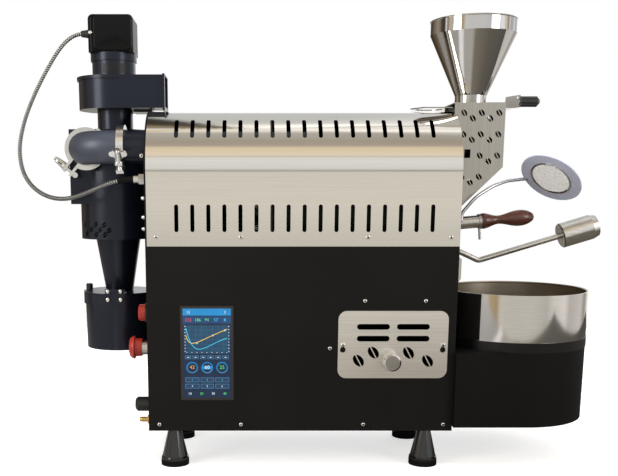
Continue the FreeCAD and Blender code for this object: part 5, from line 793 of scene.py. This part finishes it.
# --- Lamp: a thin bent tube that swivels in the face plate, a pressed silver-grey disc, and a moulded lens
# with a dimpled face held by a bright rim.
# painted light: the disc's silver-grey is lightened and tinted blue for the bluish light it catches from the
# left
lamp_grey_and_painted_light = grained("lamp_grey_and_painted_light", (0.73, 0.78, 1.0), 900, 10, 0.10, (0.36, 0.46), 0.12, metallic=0.1)
dress(lamp_grey_and_painted_light, "lamp_head")
dress(brushed("tube_steel", (0.70, 0.70, 0.76), 0.24, lines=(200, 200, 200), bump=0.02), "lamp_neck")
lens, lens_look, lens_tree = new_material("lamp_lens_look")
lens_look.inputs["Roughness"].default_value = 0.14
lens_look.inputs["Coat Weight"].default_value = 0.6
lens_look.inputs["Emission Strength"].default_value = 0.42
dimples = add(lens_tree, "ShaderNodeTexVoronoi", feature="SMOOTH_F1", Scale=330.0)
feed(lens_tree, own_place(lens_tree), dimples.inputs["Vector"])
milky = ramp(lens_tree, [(0.0, (0.84, 0.835, 0.82)), (0.7, (0.60, 0.595, 0.58))], dimples.outputs["Distance"])
feed(lens_tree, milky, lens_look.inputs["Base Color"])
feed(lens_tree, milky, lens_look.inputs["Emission Color"])
relief(lens_tree, lens_look, dimples.outputs["Distance"], 0.55, 0.0008)
dress(lens, "lamp_lens")


def at(x, y, z):
    """A place in millimetres from the rear panel's outer face, the cabinet's middle and the table."""
    return Vector((rear_x + x / 1000, middle_y + y / 1000, z / 1000))


lamp_middle = at(713.0, -60.0, 515.0)
lamp_facing = Vector((-0.56, -0.41, -0.72)).normalized()
lens_r = 0.035
rim_outline = [(lens_r + 0.0026, -0.0004), (lens_r + 0.0024, 0.0009), (lens_r + 0.0014, 0.0017),
               (lens_r + 0.0002, 0.0014), (lens_r - 0.0012, 0.0004), (lens_r - 0.0014, -0.0004)]
rim = bmesh.new()
lathe(rim, rim_outline, facing(lamp_middle, lamp_facing), 64)
piece("lamp_rim", rim, [mirror_steel], "lamp")


# --- Cooling tray, its base, collar, stirrer and fan: a polished steel pan whose inside hot beans have
# seasoned brown, on a black powder-coated drum that holds the fan and the stirrer's motor.
tray_steel = brushed("tray_steel", (0.62, 0.605, 0.585), 0.07, lines=(30, 30, 800), bump=0.015,
                     rough_swing=0.02, tint=0.03)
tray_wall = 0.0007
tray_low, tray_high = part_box("cooling_tray")
tray_tree = tray_steel.node_tree
tray_look = tray_tree.nodes["Principled BSDF"]
tray_spot = split(tray_tree, own_place(tray_tree))
out_x = sums(tray_tree, "SUBTRACT", tray_spot["X"], (tray_low.x + tray_high.x) / 2)
out_y = sums(tray_tree, "SUBTRACT", tray_spot["Y"], (tray_low.y + tray_high.y) / 2)
squares = [sums(tray_tree, "MULTIPLY", off, off) for off in (out_x, out_y)]
reach = sums(tray_tree, "SQRT", sums(tray_tree, "ADD", *squares))
within = sums(tray_tree, "LESS_THAN", reach, (tray_high.y - tray_low.y) / 2 - tray_wall)
for label, seasoned, kind in (("Base Color", (0.42, 0.37, 0.30, 1), "RGBA"), ("Roughness", 0.36, "FLOAT")):
    polished = fed_by(tray_look.inputs[label])
    feed(tray_tree, mixed(tray_tree, within, polished, seasoned, data_type=kind), tray_look.inputs[label])
dress(tray_steel, "cooling_tray")
base_black = grained("base_black", (0.0042, 0.0042, 0.0041), 1400, 7, 0.18, (0.48, 0.60), 0.3,
                     Specular_IOR_Level=0.14)
dress(base_black, "tray_base")
dress(grained("box_black", (0.006, 0.006, 0.0065), 900, 12, 0.15, (0.32, 0.42), 0.1, Specular_IOR_Level=0.25,
              Coat_Weight=0.12), "tray_collar")
dress(shaft_steel, "stirrer")
dress(motor_black, "stirrer_motor", "fan_frame", "fan_impeller")


# --- Smoke duct: black enamelled tube and bend, joined by two hinged steel clamps that bright wing nuts draw
# tight. The bend has a lighter, bluer copy of the tube's enamel: painted sheen.
duct_black = grained("duct_black", (0.0052, 0.0066, 0.0118), 700, 14, 0.18, (0.24, 0.34), 0.15,
                     Specular_IOR_Level=0.42, Specular_Tint=(0.72, 0.78, 1.0, 1), Coat_Weight=0.10)
dress(duct_black, "smoke_pipe")
# painted sheen: the bend's enamel made lighter and bluer to stand for its broad soft sheen
elbow_sheen_black = grained("elbow_sheen_black", (0.034, 0.041, 0.064), 700, 14, 0.18, (0.40, 0.48), 0.15,
                      Specular_IOR_Level=1.0, Specular_Tint=(0.80, 0.86, 1.0, 1), Coat_Weight=0.35,
                      Coat_Roughness=0.42)
dress(elbow_sheen_black, "smoke_elbow")
dress(screw_steel, "pipe_wing_nut", "elbow_wing_nut", "duct_clamps")


# --- Terminal box on the blower's motor: a moulded black box with a glossier lid, rounded at its corners,
# that one steel screw holds at its left.
terminal_black = grained("terminal_black", (0.0035, 0.0035, 0.004), 900, 12, 0.15, (0.30, 0.40), 0.1,
                         Specular_IOR_Level=0.08, Coat_Weight=0.04)
dress(terminal_black, "terminal_box")
terminal_low, terminal_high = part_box("terminal_box")
lid_left, lid_edge, lid_corner, lid_proud = 0.011, 0.002, 0.009, 0.0022
lid_steps = ((-0.001, 0.0), (lid_proud - 0.0014, 0.0), (lid_proud - 0.0004, 0.0005), (lid_proud, 0.0018))
corner_steps = 6
lid_x = (terminal_low.x + lid_left + lid_corner, terminal_high.x - lid_edge - lid_corner)
lid_z = (terminal_low.z + lid_edge + lid_corner, terminal_high.z - lid_edge - lid_corner)
cover_lid = bmesh.new()
lid_rings = []
for stand, shrink in lid_steps:
    lid_ring = []
    for quarter, (x, z) in enumerate(((1, 1), (0, 1), (0, 0), (1, 0))):
        for step in range(corner_steps + 1):
            turn = math.pi / 2 * (quarter + step / corner_steps)
            round_x, round_z = ((lid_corner - shrink) * part for part in (math.cos(turn), math.sin(turn)))
            spot = (lid_x[x] + round_x, terminal_low.y - stand, lid_z[z] + round_z)
            lid_ring.append(cover_lid.verts.new(spot))
    lid_rings.append(lid_ring)
for low_ring, high_ring in zip(lid_rings, lid_rings[1:]):
    for k in range(len(low_ring)):
        cover_lid.faces.new((low_ring[k - 1], low_ring[k], high_ring[k], high_ring[k - 1]))
cover_lid.faces.new(lid_rings[0][::-1])
cover_lid.faces.new(lid_rings[-1])
bmesh.ops.recalc_face_normals(cover_lid, faces=cover_lid.faces)
lid_gloss = grained("lid_gloss", (0.0030, 0.0030, 0.0034), 900, 12, 0.15, (0.12, 0.18), 0.0,
                    Specular_IOR_Level=0.14, Coat_Weight=0.05)
piece("terminal_lid", cover_lid, [lid_gloss], "chassis", crease=50.0)
screw_outline = [(0.0036, 0), (0.0036, 0.0010), (0.0030, 0.0019), (0.0016, 0.0024), (0, 0.0025)]
screw_sunk = 0.0003
screw_place = (terminal_low + terminal_high) / 2
screw_place.x = terminal_low.x + lid_left / 2
screw_place.y = terminal_low.y + screw_sunk
lid_screw = bmesh.new()
lathe(lid_screw, screw_outline, facing(screw_place, (0, -1, 0)), 20)
piece("terminal_screw", lid_screw, [screw_steel], "chassis")


# --- Cyclone, chaff bin and blower: welded sheet in satin black enamel that shines bluish. The bin hangs in a
# lid with two thumb knobs, four hexagon bolts hold the bracket, and a bare film label is stuck to the motor.
dress(duct_black, "cyclone_body", "chaff_lid", "chaff_bin", "blower_housing", "blower_motor")
dress(knob_black, "chaff_knob_rear", "chaff_knob_front")
dress(motor_black, "blower_impeller")
bolt_outline = [(0.0042, 0), (0.0042, 0.0018), (0.0036, 0.0030), (0.0022, 0.0036), (0, 0.0038)]
bolt_sunk = 0.0018
cyclone_x = -72                           # the cyclone's axis, in millimetres from the rear panel
bolts = bmesh.new()
lid_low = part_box("chaff_lid")[0]
for side in (-12, 12):
    for height in (308.5, 293.0):
        bolt_place = at(cyclone_x + side, 0, height)
        bolt_place.y = lid_low.y + bolt_sunk
        lathe(bolts, bolt_outline, facing(bolt_place, (0, -1, 0)), 20, 0,
              lambda step, turn: hexagon(turn) if step < 2 else 1)
piece("lid_bolts", bolts, [screw_steel], "chassis")
film = grained("bare_label", (0.010, 0.010, 0.011), 900, 30, 0.08, (0.3, 0.4), 0.0, Specular_IOR_Level=0.3)
motor_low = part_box("blower_motor")[0]
motor_axis = at(cyclone_x, 63, 0)
label_r, label_foot, label_top = 0.0403, motor_low.z + 0.006, motor_low.z + 0.023
label_turns = [t / 100 for t in range(-40, 71, 10)]           # radians from the operator's side
label = bmesh.new()
lower, upper = ([label.verts.new(motor_axis + Vector((label_r * math.sin(t), -label_r * math.cos(t), height)))
                 for t in label_turns] for height in (label_foot, label_top))
for k in range(len(lower) - 1):
    label.faces.new((lower[k], lower[k + 1], upper[k + 1], upper[k]))
piece("motor_label", label, [film], "chassis")


# --- Switches and glands: a red mushroom on a bright collar and a red push button in a black ring on the rear
# panel, its black cable gland, the conduit's hexagon nut and the terminal box's rubber gland.
def stacked(name, looks):
    """One finish for pieces at several heights: (height it starts at, colour, metallic, roughness)."""
    material, principled, tree = new_material(name)
    tall = cad_box[1][2]
    share = sums(tree, "MULTIPLY", split(tree, own_place(tree))["Z"], 1 / tall)
    places = [look[0] / tall for look in looks]
    colours, metal, rough = (
        ramp(tree, [(p, value(look)) for p, look in zip(places, looks)], share, "CONSTANT")
        for value in (lambda look: look[1], lambda look: (look[2],) * 3, lambda look: (look[3],) * 3))
    texture = place_group(tree, grain, Colour=colours, Fine_Scale=800.0, Cloud_Scale=30.0, Cloud_Amount=0.1)
    feed(tree, texture["Colour"], principled.inputs["Base Color"])
    feed(tree, metal, principled.inputs["Metallic"])
    feed(tree, rough, principled.inputs["Roughness"])
    return material


dress(stacked("switch_finish", [
    (0.0, (0.62, 0.61, 0.58), 1.0, 0.22), (0.245, (0.012, 0.012, 0.012), 0.0, 0.3),
]), "switch_collars")
dress(stacked("gland_finish", [
    (0.0, (0.012, 0.012, 0.012), 0.0, 0.35), (0.30, (0.70, 0.69, 0.67), 1.0, 0.2),
    (0.65, (0.014, 0.014, 0.014), 0.0, 0.55),
]), "cable_glands")
push_red = grained("push_red", (0.46, 0.035, 0.022), 1000, 30, 0.12, (0.26, 0.36), 0.1)
dress(push_red, "estop_head", "start_button")


# --- Conduit: corrugated steel hose between the terminal box and the rear panel, hanging in one free curve,
# with a black rubber boot where it meets the rear panel's nut. Its route is the solid hose's, in metres.
route = [
    (-0.469568, 0.0725, 0.779), (-0.483568, 0.0725, 0.7775), (-0.508568, 0.0715, 0.757),
    (-0.537568, 0.0675, 0.711), (-0.561568, 0.0605, 0.664), (-0.578568, 0.0525, 0.619),
    (-0.586568, 0.0435, 0.577), (-0.583568, 0.0335, 0.546), (-0.573568, 0.0215, 0.519),
    (-0.552568, 0.0055, 0.496), (-0.522568, -0.0125, 0.481), (-0.487568, -0.0335, 0.478),
    (-0.452568, -0.0545, 0.487), (-0.418568, -0.0765, 0.5), (-0.385568, -0.0935, 0.5115),
    (-0.357568, -0.0945, 0.513),
]
lay_of_hose = bpy.data.curves.new("conduit_route", "CURVE")
lay_of_hose.dimensions = "3D"
spline = lay_of_hose.splines.new("NURBS")
spline.points.add(len(route) - 1)
for point, place in zip(spline.points, route):
    point.co = (*place, 1.0)
spline.order_u = 3
spline.use_endpoint_u = True
spline.resolution_u = 40
holder = bpy.data.objects.new("conduit_route", lay_of_hose)
bpy.context.scene.collection.objects.link(holder)
sampled = bpy.data.meshes.new_from_object(holder)
hose_path = [vertex.co.copy() for vertex in sampled.vertices]
bpy.data.objects.remove(holder)
hose_r, groove, pitch = 0.004, 0.0010, 0.0042
quarter_pitch = pitch / 4
steps = [hose_path[0]]
for spot in hose_path[1:]:
    while (spot - steps[-1]).length >= quarter_pitch:
        steps.append(steps[-1] + (spot - steps[-1]).normalized() * quarter_pitch)
steps.append(hose_path[-1])


tube_sides = 16


def tube_along(bm, spots, reaches, slots):
    """Closed round tube through spots, with a radius and a material for each of its rings."""
    side, rings = Vector((0, 1, 0)), []
    for k, (here, reach) in enumerate(zip(spots, reaches)):
        along = (spots[min(k + 1, len(spots) - 1)] - spots[max(k - 1, 0)]).normalized()
        side = (side - along * side.dot(along)).normalized()
        up = along.cross(side)
        turns = [2 * math.pi * t / tube_sides for t in range(tube_sides)]
        rings.append([bm.verts.new(here + (side * math.cos(t) + up * math.sin(t)) * reach) for t in turns])
    for low, high, slot in zip(rings, rings[1:], slots):
        for t in range(tube_sides):
            after = (t + 1) % tube_sides
            bm.faces.new((low[t], low[after], high[after], high[t])).material_index = slot
    for end in (rings[0][::-1], rings[-1]):
        bm.faces.new(end)


hose = bmesh.new()
# painted shade: the faces leading into each groove and its bottom get a dark finish
tube_along(hose, steps, [hose_r - (groove if k % 4 in (2, 3) else 0) for k in range(len(steps))],
           [1 if k % 4 in (1, 2) else 0 for k in range(len(steps))])
hose_steel = brushed("hose_steel", (0.62, 0.62, 0.61), 0.30, lines=(300, 300, 300), bump=0.03, tint=0.1)
groove_shade_dark = grained("groove_shade_dark", (0.035, 0.035, 0.036), 900, 40, 0.2, (0.5, 0.6), 0.1)
hose_piece = piece("conduit_hose", hose, [hose_steel, groove_shade_dark], "chassis", ["conduit"],
                   crease=60.0)
boot_l, boot_r, boot_lip = 0.028, 0.0049, 0.0042
boot_spots = [spot for spot in steps if (spot - steps[-1]).length < boot_l]
boot = bmesh.new()
tube_along(boot, boot_spots, [boot_lip, *([boot_r] * (len(boot_spots) - 2)), boot_lip], [0] * len(boot_spots))
piece("hose_boot", boot, [pad_rubber], "chassis")
